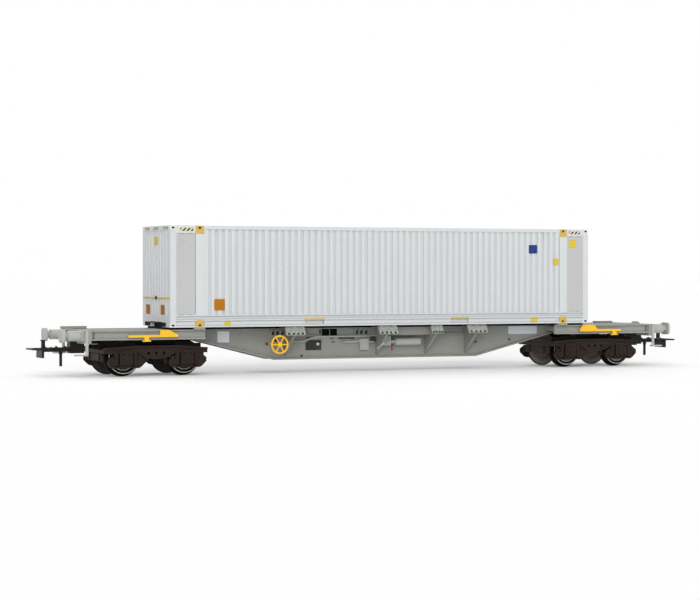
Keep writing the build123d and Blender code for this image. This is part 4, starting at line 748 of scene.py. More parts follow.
# Black ink for prints; in the castings' eyes, the web's holes and round the front tunnel the same black is
# painted shade
INK_AND_SHADE_BLACK = Finish(
    "printed_ink_black", Slot.COUPLER, "10110d", "0c0d0a", "33342e", "050504", roughness=0.5, gloss=0.03
)
# Dark grey, mostly painted shade: it stands for the shadows in the web's recessed panel, slots and rib
# pockets, at the posts' edges and round the bolts under the rests, and it also colours the brake rods. Flat,
# and nearly black in its corners with painted shade.
PANEL_AND_SHADE_DARK = Finish(
    "dark_grey_painted_shade", Slot.WAGON, "383b36", "2f322d", "5c5f58", "161714", roughness=0.5, gloss=0.2
)
# Self-coloured ABS, moulded: a plain red with pale edges, partly a painted highlight.
HANDLE_RED = Finish("moulded_abs_red", Slot.YELLOW, "b3392b", "a22f23", "d0796e", "5c1913", roughness=0.36)
# Two printing inks in slanting stripes, black on cream.
HAZARD_BAND = Striped(
    "printed_hazard_band", Slot.YELLOW, "e4d7a4", "e4d7a4", "efe7c6", "6d6232", roughness=0.4
)
# Black rubber for the door seals: dull, with a bloom on its edges that is partly a painted highlight. On the
# deck the same black is painted shade, strips that stand for the dark gap under the box.
RUBBER_AND_SHADE_BLACK = Finish(
    "rubber_and_painted_shade_black", Slot.COUPLER, "191919", "131313", "3a3a3a", "080808", roughness=0.7, gloss=0.1
)


def dress_nodes(finish: Finish, *names: str) -> None:
    """Gives CAD nodes a finish, in the material slots that they have.

    Args:
        finish: The finish.
        *names: The nodes.
    """
    for name in names:
        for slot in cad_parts[name].material_slots:
            slot.material = finish.material()
        LOG.info("node %s in %s", name, finish.name)


def dress_piece(piece: Piece, name: str, finish: Finish, body: str) -> Piece:
    """Names a finished piece, gives it its finish and lets it ride on its body.

    Args:
        piece: The object, with its place in its mesh.
        name: The piece's name.
        finish: The finish.
        body: The CAD body that it moves with.

    Returns:
        The same piece.
    """
    piece.name = name
    piece.data.name = name
    piece.data.materials.clear()
    piece.data.materials.append(finish.material())
    make_active(piece)
    bpy.ops.object.shade_smooth_by_angle(angle=SMOOTH_ANGLE)
    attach(piece, body)
    LOG.info("piece %s: %d faces in %s on %s", name, len(piece.data.polygons), finish.name, body)
    return piece


@dataclass(frozen=True)
class Trim:
    """Flat plates of one size on a side: bare prints, panels, bands and ribs.

    A spot is a plate's middle along the side and its height. A plate with a corner has a raised edge and a
    field that is pressed in. One without a corner is a strip with all its edges rounded.
    """

    name: str
    finish: Finish
    width: float
    height: float
    thickness: float
    edge: float
    back: float
    spots: tuple[Spot, ...]
    corner: float = 0.0

    def model(self) -> Piece:
        """One plate that faces -Y with its back on the origin."""
        if self.corner:
            return framed_plate(self.width, self.height, self.thickness, self.edge, self.corner)
        return rounded_strip(self.width, self.height, self.thickness, self.edge)

    def places(self) -> list[Matrix]:
        """Where the plates sit on the near side."""
        return [shift(x, -self.back, z) for x, z in self.spots]


class Assembly:
    """A sub-assembly whose pieces ride on one body."""

    body: str

    def add(self, name: str, finish: Finish, model: Piece, places: Sequence[Matrix]) -> Piece:
        """Copies a model to its places and dresses the copies as one piece."""
        return dress_piece(repeat(model, places), name, finish, self.body)

    def add_trims(self, trims: Sequence[Trim], sides: Sides) -> None:
        """Builds flat plates. Rows that follow each other under one name make one piece.

        Args:
            trims: The plates.
            sides: Takes places on the near side to all the sides that have them.
        """
        for name, group in groupby(trims, lambda trim: trim.name):
            rows = list(group)
            plates = [repeat(row.model(), sides(row.places())) for row in rows]
            dress_piece(join(plates), name, rows[0].finish, self.body)


@dataclass(frozen=True)
class CargoBox(Assembly):
    """The long box that lifts off: its plates, vents, seals and door gear, on fluted walls from the CAD."""

    body: str = "container"
    coated: tuple[str, ...] = (
        "bottom_rails",
        "top_rails",
        "front_rails",
        "door_rails",
        "corner_posts",
        "frame_posts",
        "wall_near",
        "wall_far",
        "front_wall",
        "door_near",
        "door_far",
        "lock_rods",
        "roof",
    )
    half_width: float = 14.0
    casting_x: float = 77.4
    frame_casting_x: float = 68.2
    casting_z: tuple[float, float] = (16.5, 48.3)
    # The columns are the name, finish, width, height, thickness, edge, distance of the back, spots and corner
    side_trims: tuple[Trim, ...] = (
        Trim("box_side_placards", INK_ORANGE, 3.7, 3.7, 0.1, 0.16, 13.83, ((-61.35, 23.15),), 0.296),
        Trim("box_blue_plates", INK_BLUE, 3.3, 3.0, 0.1, 0.16, 13.83, ((56.05, 41.9),), 0.24),
        Trim("box_yellow_plates", INK_YELLOW, 2.8, 2.6, 0.1, 0.16, 13.89, ((72.0, 43.9),), 0.208),
        Trim("box_height_plates", INK_YELLOW, 1.7, 2.5, 0.1, 0.16, 13.83, ((65.45, 37.45),), 0.192),
        Trim("box_header_plates", BOX_GREY, 6.55, 1.35, 0.14, 0.05, 13.85, in_row(47.175, -73.125, 73.125)),
        Trim("box_end_panels", PANEL_GREY, 6.4, 26.2, 0.08, 0.2, 13.85, in_row(33.2, -72.95, 72.95), 0.24),
        # A dark line on each post's edge: painted shade where the post steps out of the panel
        Trim("box_post_shade_lines", PANEL_AND_SHADE_DARK, 0.13, 26.4, 0.06, 0.02, 13.97, in_row(33.3, -69.76, 66.64)),
        Trim("box_side_bands", HAZARD_BAND, 4.5, 1.0, 0.05, 0.02, 13.99, in_row(47.75, -72.8, 72.75)),
        Trim("box_lifting_marks", INK_YELLOW, 2.1, 1.4, 0.12, 0.12, 13.59, ((-58.45, 17.1),), 0.1),
        Trim("box_lifting_marks", INK_YELLOW, 2.8, 1.4, 0.12, 0.12, 13.59, ((56.7, 17.1),), 0.1),
        Trim("box_pocket_bars", INK_YELLOW, 7.4, 0.5, 0.1, 0.04, 13.95, ((-27.5, 18.12),)),
        Trim("box_pocket_bars", INK_YELLOW, 7.0, 0.5, 0.1, 0.04, 13.95, ((27.1, 18.12),)),
        Trim("box_rail_ribs", BOX_GREY, 0.4, 1.62, 0.36, 0.06, 13.6, in_row(17.1, -66.3, -53.4, 53.2, 65.9)),
    )
    # On the closed end, along which the spots run from the far side to the near one
    front_trims: tuple[Trim, ...] = (
        Trim("box_front_band", INK_YELLOW, 27.6, 0.45, 0.24, 0.05, 78.23, ((0.0, 25.35),)),
        Trim("box_front_placards", INK_ORANGE, 3.4, 3.5, 0.1, 0.16, 78.23, in_row(21.3, -8.9, 5.9), 0.2),
        Trim("box_front_plate", INK_YELLOW, 3.2, 2.6, 0.1, 0.16, 78.23, ((-0.6, 44.2),), 0.2),
        Trim("box_front_bands", HAZARD_BAND, 5.2, 0.9, 0.05, 0.02, 78.39, in_row(48.25, -9.3, 9.3)),
        Trim("box_front_bands", HAZARD_BAND, 5.4, 0.9, 0.05, 0.02, 78.39, ((-0.4, 48.25),)),
        # A black band round the tunnel under the closed end and a black plate deep inside it: painted shade
        Trim("box_front_tunnel_shade", INK_AND_SHADE_BLACK, 3.75, 1.35, 0.1, 0.18, 78.39, ((7.725, 16.65),), 0.12),
        Trim("box_front_tunnel_shade", INK_AND_SHADE_BLACK, 5.65, 1.35, 0.1, 0.18, 78.39, ((-8.675, 16.65),), 0.12),
        Trim("box_front_tunnel_shade", INK_AND_SHADE_BLACK, 11.6, 0.36, 0.1, 0.03, 78.39, ((0.0, 17.3),)),
        Trim("box_front_tunnel_shade", INK_AND_SHADE_BLACK, 11.5, 1.25, 0.3, 0.4, 76.8, ((0.0, 16.45),), 0.1),
    )
    boss_place: tuple[float, float] = (78.23, 25.35)
    vent_spots: tuple[Spot, ...] = in_row(46.3, -61.2, 61.0)
    vent_back: float = 13.8
    vent_size: Point = (1.5, 0.45, 2.5)
    paint_z: tuple[float, float] = (47.0, 17.7)
    door_x: float = 77.7
    door_half: float = 11.98
    door_z: tuple[float, float] = (18.12, 47.38)
    hinge_y: float = 12.08
    hinge_z: tuple[float, ...] = (20.4, 26.6, 32.8, 39.0, 45.2)
    rod_y: tuple[float, float] = (3.0, 9.2)
    bracket_z: tuple[float, ...] = (20.6, 24.6, 32.0, 39.4, 45.2)
    handle_z: tuple[float, float] = (27.8, 29.6)
    roof_plate_at: Point = (74.8, 10.8, 48.78)

    def dress(self) -> None:
        """Builds every piece of the box and gives the CAD nodes their finishes."""
        dress_nodes(BOX_GREY, *(f"container_{part}" for part in self.coated))
        dress_nodes(FLOOR_GREY, "container_floor")
        dress_nodes(CASTING_WHITE, "container_corner_castings")
        dress_nodes(CASTING_YELLOW, "container_frame_castings")
        self.add_trims(self.side_trims, near_and_far)
        self.add_trims(self.front_trims, to_left_end)
        boss_x, boss_z = self.boss_place
        boss = stud(0.55, 0.4, 0.16, 0.1, 20)
        self.add("box_front_boss", INK_AND_SHADE_BLACK, boss, to_left_end([shift(0.0, -boss_x, boss_z)]))
        self.vents()
        self.casting_eyes()
        self.post_paint()
        self.door_gear()
        self.roof_plates()

    def vents(self) -> None:
        """Adds the hooded vents under the top rails, drawn in towards their feet."""
        long, deep, tall = self.vent_size
        vent = start_block((-long / 2, -deep, -tall / 2), (long / 2, 0.0, tall / 2))
        with edit(vent, Element.FACE, downward):
            bpy.ops.transform.resize(value=(0.6, 0.3, 1.0))
            bpy.ops.transform.translate(value=(0.0, deep * 0.35 * MM, 0.0))
        press(vent, 0.2, -0.12, lambda at, normal: normal.y < -0.7)
        places = [shift(x, -self.vent_back, z) for x, z in self.vent_spots]
        self.add("box_vents", BOX_GREY, round_edges(vent, 0.05), near_and_far(places))

    def casting_eyes(self) -> None:
        """Rims the lifting slots of the castings and darkens the slots' bottoms with painted shade."""
        eyes = []
        for name, finish, reach in (
            ("box_corner_rims", CASTING_WHITE, self.casting_x),
            ("box_frame_rims", CASTING_YELLOW, self.frame_casting_x),
        ):
            rim = ring(0.52, 0.36, 0.06, 20)
            with edit(rim, Element.FACE, everything):
                bpy.ops.transform.resize(value=(1.45, 1.0, 1.0), center_override=(0.0, 0.0, 0.0))
            slots = [shift(end * reach, -self.half_width, z) for end in (-1, 1) for z in self.casting_z]
            self.add(name, finish, rim, near_and_far([slot @ shift(0.0, 0.01, 0.0) for slot in slots]))
            eyes += [slot @ shift(0.0, 0.34, 0.0) for slot in slots]
        eye = rounded_strip(0.94, 0.54, 0.08, 0.03)
        self.add("box_casting_eyes", INK_AND_SHADE_BLACK, eye, near_and_far(eyes))

    def post_paint(self) -> None:
        """Carries the ochre of the lifting castings on along their posts, with soft corners."""
        upper = start_block((-1.5, -0.06, -0.7), (1.5, 0.04, 0.7))
        round_edges(upper, 0.25, 3, lambda at, along: along_y(at, along) and at.z < 0)
        lower = start_block((-1.45, -0.04, -0.55), (1.45, 0.5, 0.55))
        round_edges(lower, 0.5, 3, lambda at, along: along_y(at, along) and at.z > 0)
        strips = []
        for model, z in zip((upper, lower), self.paint_z):
            places = [shift(end * self.frame_casting_x, -self.half_width, z) for end in (-1, 1)]
            strips.append(repeat(round_edges(model, 0.02, 1, outward_edge), near_and_far(places)))
        dress_piece(join(strips), "box_post_paint", CASTING_YELLOW, self.body)

    def on_doors(self, spots: Sequence[Spot]) -> list[Matrix]:
        """Takes spots on one door, as Y and Z, to both doors."""
        return mirrored([shift(self.door_x, y, z) @ TO_RIGHT_END for y, z in spots])

    def door_gear(self) -> None:
        """Adds the seals, hinges, rod brackets and handles of the two doors."""
        foot, head = self.door_z
        half, rise = self.door_half / 2, (head - foot) / 2
        seal = hollow(start_block((-half, -0.08, -rise), (half, 0.0, rise)), 0.4)
        places = self.on_doors([(half, (foot + head) / 2)])
        self.add("box_door_seals", RUBBER_AND_SHADE_BLACK, round_edges(seal, 0.03, 1), places)

        knuckle = round_edges(start_drum((0.0, -0.3, 0.0), 0.32, 1.3, Axis.Z, 14), 0.06)
        leaf = round_edges(start_block((-1.5, -0.24, -0.36), (0.0, 0.0, 0.36)), 0.06)
        places = self.on_doors([(self.hinge_y, z) for z in self.hinge_z])
        self.add("box_door_hinges", BOX_GREY, join([knuckle, leaf]), places)

        pad = round_edges(start_block((-0.8, -0.16, -0.42), (0.8, 0.0, 0.42)), 0.05)
        hump = round_edges(start_block((-0.46, -0.78, -0.34), (0.46, 0.0, 0.34)), 0.12)
        places = self.on_doors([(y, z) for z in self.bracket_z for y in self.rod_y])
        self.add("box_rod_brackets", BRIGHT_METAL, join([pad, hump]), places)

        hub = round_edges(start_drum((0.0, -0.36, 0.0), 0.46, 0.9, Axis.Z, 14), 0.08)
        lever = start_block((0.2, -0.72, -0.2), (2.2, -0.5, 0.2))
        with edit(lever, Element.FACE, rightward):
            bpy.ops.mesh.extrude_region_move(TRANSFORM_OT_translate={"value": (0.9 * MM, 0.12 * MM, 0.0)})
            bpy.ops.transform.resize(value=(1.0, 1.2, 1.5))
        inner, outer = (self.on_doors([spot]) for spot in zip(self.rod_y, self.handle_z))
        places = [*inner, *(place @ MIRROR_X for place in outer)]
        self.add("box_door_handles", BRIGHT_METAL, join([hub, round_edges(lever, 0.05)]), places)

    def roof_plates(self) -> None:
        """Adds the doubler plates at the roof's corners."""
        plate = press(start_block((-1.5, -1.2, 0.0), (1.5, 1.2, 0.16)), 0.25, 0.03, upward)
        x, y, z = self.roof_plate_at
        places = [shift(end * x, side * y, z) for end in (-1, 1) for side in (-1, 1)]
        self.add("box_roof_plates", BOX_GREY, round_edges(plate, 0.04, 1), places)


@dataclass(frozen=True)
class Underframe(Assembly):
    """The wagon's own frame: bare plates, hinges, bolts and small brake gear on the cast girder."""

    body: str = "wagon"
    cast: tuple[str, ...] = (
        "centre_girder",
        "outriggers",
        "end_sills",
        "cross_members",
        "headstock_left",
        "headstock_right",
        "end_pads",
        "spigots",
    )
    web_y: float = 4.0
    # The columns are the name, finish, width, height, thickness, edge, distance of the back, spots and corner
    web_trims: tuple[Trim, ...] = (
        Trim("frame_white_panels", INK_WHITE, 4.2, 3.7, 0.12, 0.2, 3.98, ((-56.3, 12.25),), 0.296),
        Trim("frame_black_plates_a", INK_AND_SHADE_BLACK, 2.75, 2.6, 0.12, 0.2, 3.98, ((-19.125, 13.35),), 0.24),
        Trim("frame_black_plates_b", INK_AND_SHADE_BLACK, 2.55, 2.6, 0.12, 0.2, 3.98, ((-16.175, 13.35),), 0.24),
        Trim("frame_sign_plates", INK_WHITE, 11.5, 3.05, 0.12, 0.2, 3.98, ((57.45, 13.375),), 0.244),
        Trim("frame_web_pads", FRAME_GREY, 4.6, 1.8, 0.4, 0.25, 4.0, ((-23.9, 13.65),), 0.2),
        # The dark slots in the web are painted shade for its openings
        Trim("frame_web_slots", PANEL_AND_SHADE_DARK, 2.9, 0.55, 0.1, 0.12, 4.0, ((-24.8, 11.5),), 0.2),
        Trim("frame_web_slots", PANEL_AND_SHADE_DARK, 0.7, 1.5, 0.1, 0.12, 4.0, ((-21.2, 13.5),), 0.1),
        Trim("frame_web_slots", PANEL_AND_SHADE_DARK, 1.1, 0.4, 0.1, 0.1, 4.0, ((-16.8, 11.3), (-16.3, 10.0)), 0.12),
        # The pockets between the ribs are dark plates: painted shade
        Trim("frame_rib_pockets", PANEL_AND_SHADE_DARK, 0.9, 1.2, 0.1, 0.15, 4.0, in_row(13.2, *POCKET_X), 0.2),
    )
    # Between the middle outriggers and the next ones, whose places are mirrored and not turned
    boards: tuple[Trim, ...] = (
        Trim("frame_label_boards", FRAME_GREY, 18.1, 2.8, 0.5, 0.15, 8.7, ((9.35, 13.6),), 0.1),
    )
    boss_spots: tuple[Spot, ...] = ((-40.8, 9.65), (-28.0, 5.5), (38.5, 9.3), (52.0, 10.0))
    hole_spot: Spot = (-37.2, 10.95)
    hole_scale: float = 1.75
    panel_spot: Spot = (-23.6, 9.05)
    panel_size: tuple[float, float] = (5.8, 3.5)
    stud_spot: Spot = (-22.2, 9.4)
    rib_spots: tuple[Spot, ...] = in_row(13.55, *RIB_X)
    deck_z: float = 15.1
    strip_height: float = 0.6
    # Left, right, half width and how far the strip reaches below the deck
    strips: tuple[tuple[float, float, float, float], ...] = (
        (-66.0, 66.0, 5.0, 0.22),
        (-77.4, -70.3, 11.8, 0.02),
        (70.3, 77.4, 11.8, 0.02),
    )
    # X and length of each folding rest
    rests: tuple[tuple[float, float], ...] = ((-34.3, 7.0), (0.0, 7.0), (18.7, 4.4), (34.3, 7.4))
    rest_top: tuple[float, float] = (13.0, 15.7)
    rest_tilt: float = 29.0
    rest_height: float = 3.2
    rest_bolts: tuple[float, ...] = (-0.36, -0.1188, 0.1188, 0.36)
    rest_lugs: tuple[float, ...] = (-0.33, 0.0, 0.33)
    # On the near side: the rods and pipes beside the middle outrigger, and what sits on them
    upper_pipe: Route = (
        (-27.2, -4.15, 12.4), (-26.6, -4.4, 12.4), (-20.7, -4.4, 12.25), (-20.4, -4.0, 12.25),
    )
    rods: tuple[Route, ...] = tuple(((-14.6, -4.6, z), (-8.5, -4.6, z)) for z in (11.3, 11.8))
    saddle_spots: tuple[Spot, ...] = in_row(11.55, -13.6, -9.2)
    hanger: Route = ((5.1, -4.0, 12.0), (5.1, -5.4, 12.0), (5.1, -5.6, 11.7), (5.1, -5.6, 8.2))
    cabinet_at: Point = (-2.5, -6.5, 11.15)
    loop_x: tuple[float, float] = (1.5, 3.9)
    housing_at: Point = (2.7, -4.9, 10.7)
    feed_pipe: Route = ((-12.9, -4.0, 9.9), (-12.6, -4.8, 9.95), (-6.4, -4.8, 10.2))
    outlet_pipe: Route = ((-3.6, -5.0, 9.95), (-1.3, -5.0, 9.9), (-0.9, -4.0, 9.9))
    collar_spots: tuple[Spot, ...] = ((-10.9, 10.0), (-8.2, 10.12), (-2.2, 9.92))
    change_lever: Route = ((-0.4, -6.9, 7.75), (-0.9, -6.6, 7.62), (-0.9, -11.6, 9.47))
    red_handle: Route = ((5.1, -5.6, 8.4), (5.1, -5.8, 8.1), (5.0, -6.2, 7.4), (4.7, -6.4, 6.9))
    buffer_plate: Point = (107.5, 10.05, 13.35)
    buffer_bolt_reach: tuple[float, float] = (1.65, 1.25)

    def dress(self) -> None:
        """Builds every piece of the frame and gives the CAD nodes their finishes."""
        dress_nodes(FRAME_GREY, *self.cast)
        dress_nodes(SIGNAL_YELLOW, "brake_levers", "handwheels")
        dress_nodes(BRIGHT_METAL, "pivot_screws")
        buffers = [f"buffer_{side}_{end.word}" for side in ("near", "far") for end in End]
        dress_nodes(BUFFER_GREY, "corner_steps", "air_tanks", "brake_pipe", "brake_valves", *buffers)
        self.add_trims(self.web_trims, near_and_far)
        self.add_trims(self.boards, mirrored)
        self.deck_shade_strips()
        self.web_fittings()
        self.valve_gear()
        self.folding_rests()
        self.buffer_bolts()

    def on_web(self, spots: Sequence[Spot], sunk: float = 0.0) -> list[Matrix]:
        """Takes spots on the near web to both webs, sunk a little into them."""
        return near_and_far([shift(x, sunk - self.web_y, z) for x, z in spots])

    def deck_shade_strips(self) -> None:
        """Lays black strips under the box, folded over the girder and flat on the end sills: painted shade
        for the dark gap between the box and the deck.
        """
        strips = []
        for left, right, half, fold in self.strips:
            foot, head = self.deck_z - fold, self.deck_z + self.strip_height
            strip = press(start_block((left, -half, foot), (right, half, head)), 0.3, -0.05, upward)
            strips.append(round_edges(strip, 0.06, 1, lambda at, along: at.z > self.deck_z))
        dress_piece(join(strips), "deck_shade_strips", RUBBER_AND_SHADE_BLACK, self.body)

    def web_fittings(self) -> None:
        """Adds the dark panel with its stud, the bosses and holes, the upper pipe and the tapered ribs. The
        dark panel and the black holes are painted shade.
        """
        # The dark panel is painted shade for a recess in the web
        half, rise = (size / 2 for size in self.panel_size)
        panel = start_block((-half, -0.14, -rise), (half, 0.0, rise))
        round_edges(panel, 1.1, 1, lambda at, along: along_y(at, along) and at.x < 0 < at.z)
        panels = self.on_web([self.panel_spot], 0.02)
        self.add("frame_dark_panels", PANEL_AND_SHADE_DARK, press(panel, 0.22, -0.1), panels)
        self.add("frame_panel_studs", INK_WHITE, stud(0.5, 0.7, 0.15, 0.12), self.on_web([self.stud_spot]))
        boss = ring(0.66, 0.4, 0.32, 18)
        self.add("frame_web_bosses", FRAME_GREY, boss, self.on_web(self.boss_spots, 0.02))
        # The holes are black studs: painted shade in the openings
        widen = Matrix.Diagonal((self.hole_scale, 1.0, self.hole_scale, 1.0))
        places = self.on_web(self.boss_spots) + [place @ widen for place in self.on_web([self.hole_spot])]
        self.add("frame_web_holes", INK_AND_SHADE_BLACK, stud(0.4, 0.16, 0.1, -0.1), places)
        self.add("frame_upper_pipes", BUFFER_GREY, bent_rod(self.upper_pipe, 0.15), BOTH_WAYS)
        rib = start_block((-0.26, -0.9, -1.0), (0.26, 0.0, 1.0))
        with edit(rib, Element.FACE, downward):
            bpy.ops.transform.resize(value=(1.0, 0.25, 1.0))
            bpy.ops.transform.translate(value=(0.0, 0.33 * MM, 0.0))
        self.add("frame_web_ribs", FRAME_GREY, round_edges(rib, 0.06, 1), self.on_web(self.rib_spots))

    def valve_gear(self) -> None:
        """Adds the brake rods, pipes, valve and handles beside the middle outrigger."""
        rods = [bent_rod(rod, 0.2) for rod in self.rods]
        saddle = round_edges(start_block((-0.3, -0.8, -0.55), (0.3, 0.0, 0.55)), 0.08)
        saddles = repeat(saddle, [shift(x, -self.web_y, z) for x, z in self.saddle_spots])
        bar = bent_rod(self.hanger, 0.26)
        box = repeat(framed_plate(2.1, 1.45, 0.5, 0.25, 0.2), [shift(*self.cabinet_at)])
        self.add("frame_brake_rods", PANEL_AND_SHADE_DARK, join([*rods, saddles, bar, box]), BOTH_WAYS)
        pipes = []
        for x in self.loop_x:
            route = (x, -4.0, 11.9), (x, -5.6, 11.8), (x, -5.6, 9.0), (x, -4.0, 8.8)
            pipes.append(bent_rod(route, 0.2))
        housing = start_drum(self.housing_at, 0.95, 1.8, Axis.Y, 20)
        with edit(housing, Element.FACE, outward):
            bpy.ops.mesh.inset(thickness=0.25 * MM, depth=0.15 * MM)
            bpy.ops.mesh.inset(thickness=0.3 * MM, depth=-0.2 * MM)
        feed, outlet = bent_rod(self.feed_pipe, 0.36), bent_rod(self.outlet_pipe, 0.4)
        collar = round_edges(start_drum((0.0, -4.8, 0.0), 0.55, 0.5, Axis.X, 16), 0.06)
        collars = repeat(collar, [shift(x, 0.0, z) for x, z in self.collar_spots])
        valve = join([*pipes, feed, outlet, collars, round_edges(housing, 0.05, 1)])
        self.add("frame_relay_valves", BUFFER_GREY, valve, BOTH_WAYS)
        self.add("frame_change_levers", INK_WHITE, bent_rod(self.change_lever, 0.22), BOTH_WAYS)
        self.add("frame_red_handles", HANDLE_RED, bent_rod(self.red_handle, 0.26), BOTH_WAYS)

    def folding_rests(self) -> None:
        """Builds the folding rests, which lean out towards their feet, with their bolts and hinge lugs."""
        tilt = Matrix.Rotation(math.radians(-self.rest_tilt), 4, "X")
        back, head = self.rest_top
        rests, bolts, lugs = [], [], []
        for x, length in self.rests:
            tops = [shift(x, -back, head) @ tilt, HALF_TURN @ shift(-x, -back, head) @ tilt]
            rest = start_block((-length / 2, 0.0, -self.rest_height), (length / 2, 0.55, 0.0))
            round_edges(rest, 0.3, 2, along_y)
            rests.append(repeat(round_edges(press(rest, 0.2, -0.08), 0.05, 1), tops))
            for top in tops:
                foot = top @ shift(0.0, 0.06, 0.5 - self.rest_height)
                bolts += [foot @ shift(part * length, 0.0, 0.0) for part in self.rest_bolts]
                lugs += [top @ shift(part * length, 0.1, -0.5) for part in self.rest_lugs]
        piece = dress_piece(join(rests), "folding_rests", FLAP_GREY_HIGHLIT, self.body)
        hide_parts("support_flaps_near", "support_flaps_far")
        # The bolts are dark grey: painted shade, as they stand in their own shadows
        self.add("flap_bolts", PANEL_AND_SHADE_DARK, hex_bolt(0.3, 0.24), bolts)
        lug = round_edges(start_block((-0.5, -0.32, -0.5), (0.5, 0.0, 0.5)), 0.15)
        self.add("flap_hinge_lugs", FLAP_GREY_HIGHLIT, lug, lugs)

    def buffer_bolts(self) -> None:
        """Adds the four bolts of each buffer's base plate."""
        x, y, z = self.buffer_plate
        across, up = self.buffer_bolt_reach
        spots = [(side * y + a * across, z + b * up) for side in (-1, 1) for a in (-1, 1) for b in (-1, 1)]
        places = to_left_end([shift(along, -x, height) for along, height in spots])
        self.add("buffer_bolts", BUFFER_GREY, hex_bolt(0.26, 0.24), near_and_far(places))


@dataclass(frozen=True)
class Bogie(Assembly):
    """One bogie: bolts and caps, dark shields and slots of painted shade, lugs and end plates on the moulded
    frame.
    """

    end: End
    plate_y: float = 12.1
    box_y: float = 13.0
    cover_y: float = 13.3
    bolt_reach: float = 1.62
    slot_z: float = 7.35
    # Offset from the axle and width of each slot
    slots: tuple[tuple[float, float], ...] = ((-1.0, 1.6), (1.3, 0.9))
    hole_reach: float = 2.65
    hole_z: float = 3.4
    shield_y: float = 10.5
    shield_foot: float = 8.7
    arch_radius: float = 5.65
    arch_head: float = 11.25
    # Half length and height of each step of the shield
    shield_steps: tuple[tuple[float, float], ...] = ((7.0, 11.7), (13.0, 11.25), (15.8, 10.7))
    end_rib_y: tuple[float, ...] = (-8.6, -5.2, 5.2, 8.6)

    @property
    def body(self) -> str:
        """The CAD body of this bogie."""
        return f"bogie_{self.end.word}"

    def both_sides(self, places: Sequence[Matrix]) -> list[Matrix]:
        """Takes places about the pivot's foot on the near side to both sides of this bogie."""
        pivot = shift(self.end.value * PIVOT_X, 0.0, 0.0)
        return [pivot @ place for place in near_and_far(places)]

    def dress(self) -> None:
        """Builds every piece of the bogie and gives the CAD nodes their finishes."""
        word = self.end.word
        dress_nodes(BOGIE_BROWN, f"bogie_frame_{word}", f"brake_shoes_{word}")
        corners = [(a * self.bolt_reach, b * self.bolt_reach) for a in (-1, 1) for b in (-1, 1)]
        places = [shift(axle + x, -self.box_y, AXLE_Z + z) for axle in AXLES for x, z in corners]
        self.add(f"axle_box_bolts_{word}", BOGIE_BROWN, hex_bolt(0.27, 0.26), self.both_sides(places))
        cap = join([ring(1.15, 0.9, 0.1, 28), ring(0.5, 0.2, 0.16, 18)])
        places = [shift(axle, -self.cover_y, AXLE_Z) for axle in AXLES]
        self.add(f"axle_box_caps_{word}", BOGIE_BROWN, cap, self.both_sides(places))
        self.wheel_shade_shields()
        self.slots_and_holes()
        self.lugs_and_ends()

    def wheel_shade_shields(self) -> None:
        """Adds a dark shield between the side plate and the wheels, arched over each wheel: painted shade
        over the wheels' upper parts.
        """
        parts = []
        for axle in AXLES:
            arch = start_drum((axle, -self.shield_y, AXLE_Z), self.arch_radius, 0.5, Axis.Y, 56)
            for height, keep_above in ((self.shield_foot, True), (self.arch_head, False)):
                with edit(arch, Element.FACE, everything):
                    bpy.ops.mesh.bisect(
                        plane_co=(0.0, 0.0, height * MM),
                        plane_no=(0.0, 0.0, 1.0),
                        use_fill=True,
                        clear_inner=keep_above,
                        clear_outer=not keep_above,
                    )
            parts.append(press(arch, 0.3, -0.12))
        for half, head in self.shield_steps:
            low, high = -self.shield_y - 0.22, -self.shield_y + 0.22
            step = start_block((-half, low, self.shield_foot), (half, high, head))
            round_edges(step, 0.3, 2, lambda at, along: along_y(at, along) and at.z > 10.0)
            parts.append(press(step, 0.3, -0.12))
        places = self.both_sides([Matrix.Identity(4)])
        self.add(f"wheel_shade_shields_{self.end.word}", BOGIE_SHADE_BLACK, join(parts), places)

    def slots_and_holes(self) -> None:
        """Adds the dark slots over the axle boxes and the holes at the feet of the guards: painted shade."""
        dark = []
        for offset, width in self.slots:
            slot = framed_plate(width, 0.4, 0.08, 0.1, 0.15)
            places = [shift(axle + offset, -self.box_y, self.slot_z) for axle in AXLES]
            dark.append(repeat(slot, self.both_sides(places)))
        feet = [axle + side * self.hole_reach for axle in AXLES for side in (-1, 1)]
        places = self.both_sides([shift(x, -self.plate_y, self.hole_z) for x in feet])
        dark.append(repeat(stud(0.36, 0.12, 0.1, -0.08, 16), places))
        dress_piece(join(dark), f"guard_slots_{self.end.word}", BOGIE_SHADE_BLACK, self.body)

    def lugs_and_ends(self) -> None:
        """Adds the pointed damper lugs beside the guards and the ribbed plates under the end beams."""
        lug = start_block((3.6, -11.9, 3.0), (5.2, -11.2, 7.3))
        with edit(lug, Element.FACE, rightward):
            bpy.ops.mesh.extrude_region_move(TRANSFORM_OT_translate={"value": (1.8 * MM, 0.0, 0.2 * MM)})
            bpy.ops.transform.resize(value=(1.0, 1.0, 0.3))
        places = self.both_sides([shift(axle, 0.0, 0.0) for axle in AXLES])
        lugs = repeat(round_edges(lug, 0.12, 2), places)
        plate = start_block((-17.3, -9.2, 5.0), (-16.75, 9.2, 7.3))
        press(plate, 0.35, -0.15, lambda at, normal: normal.x < -0.9)
        rib = round_edges(start_block((-17.5, -0.3, 4.9), (-16.8, 0.3, 7.4)), 0.06)
        ribs = repeat(rib, [shift(0.0, y, 0.0) for y in self.end_rib_y])
        ends = repeat(join([plate, ribs]), self.both_sides([Matrix.Identity(4)]))
        dress_piece(join([lugs, ends]), f"bogie_lugs_{self.end.word}", BOGIE_BROWN, self.body)


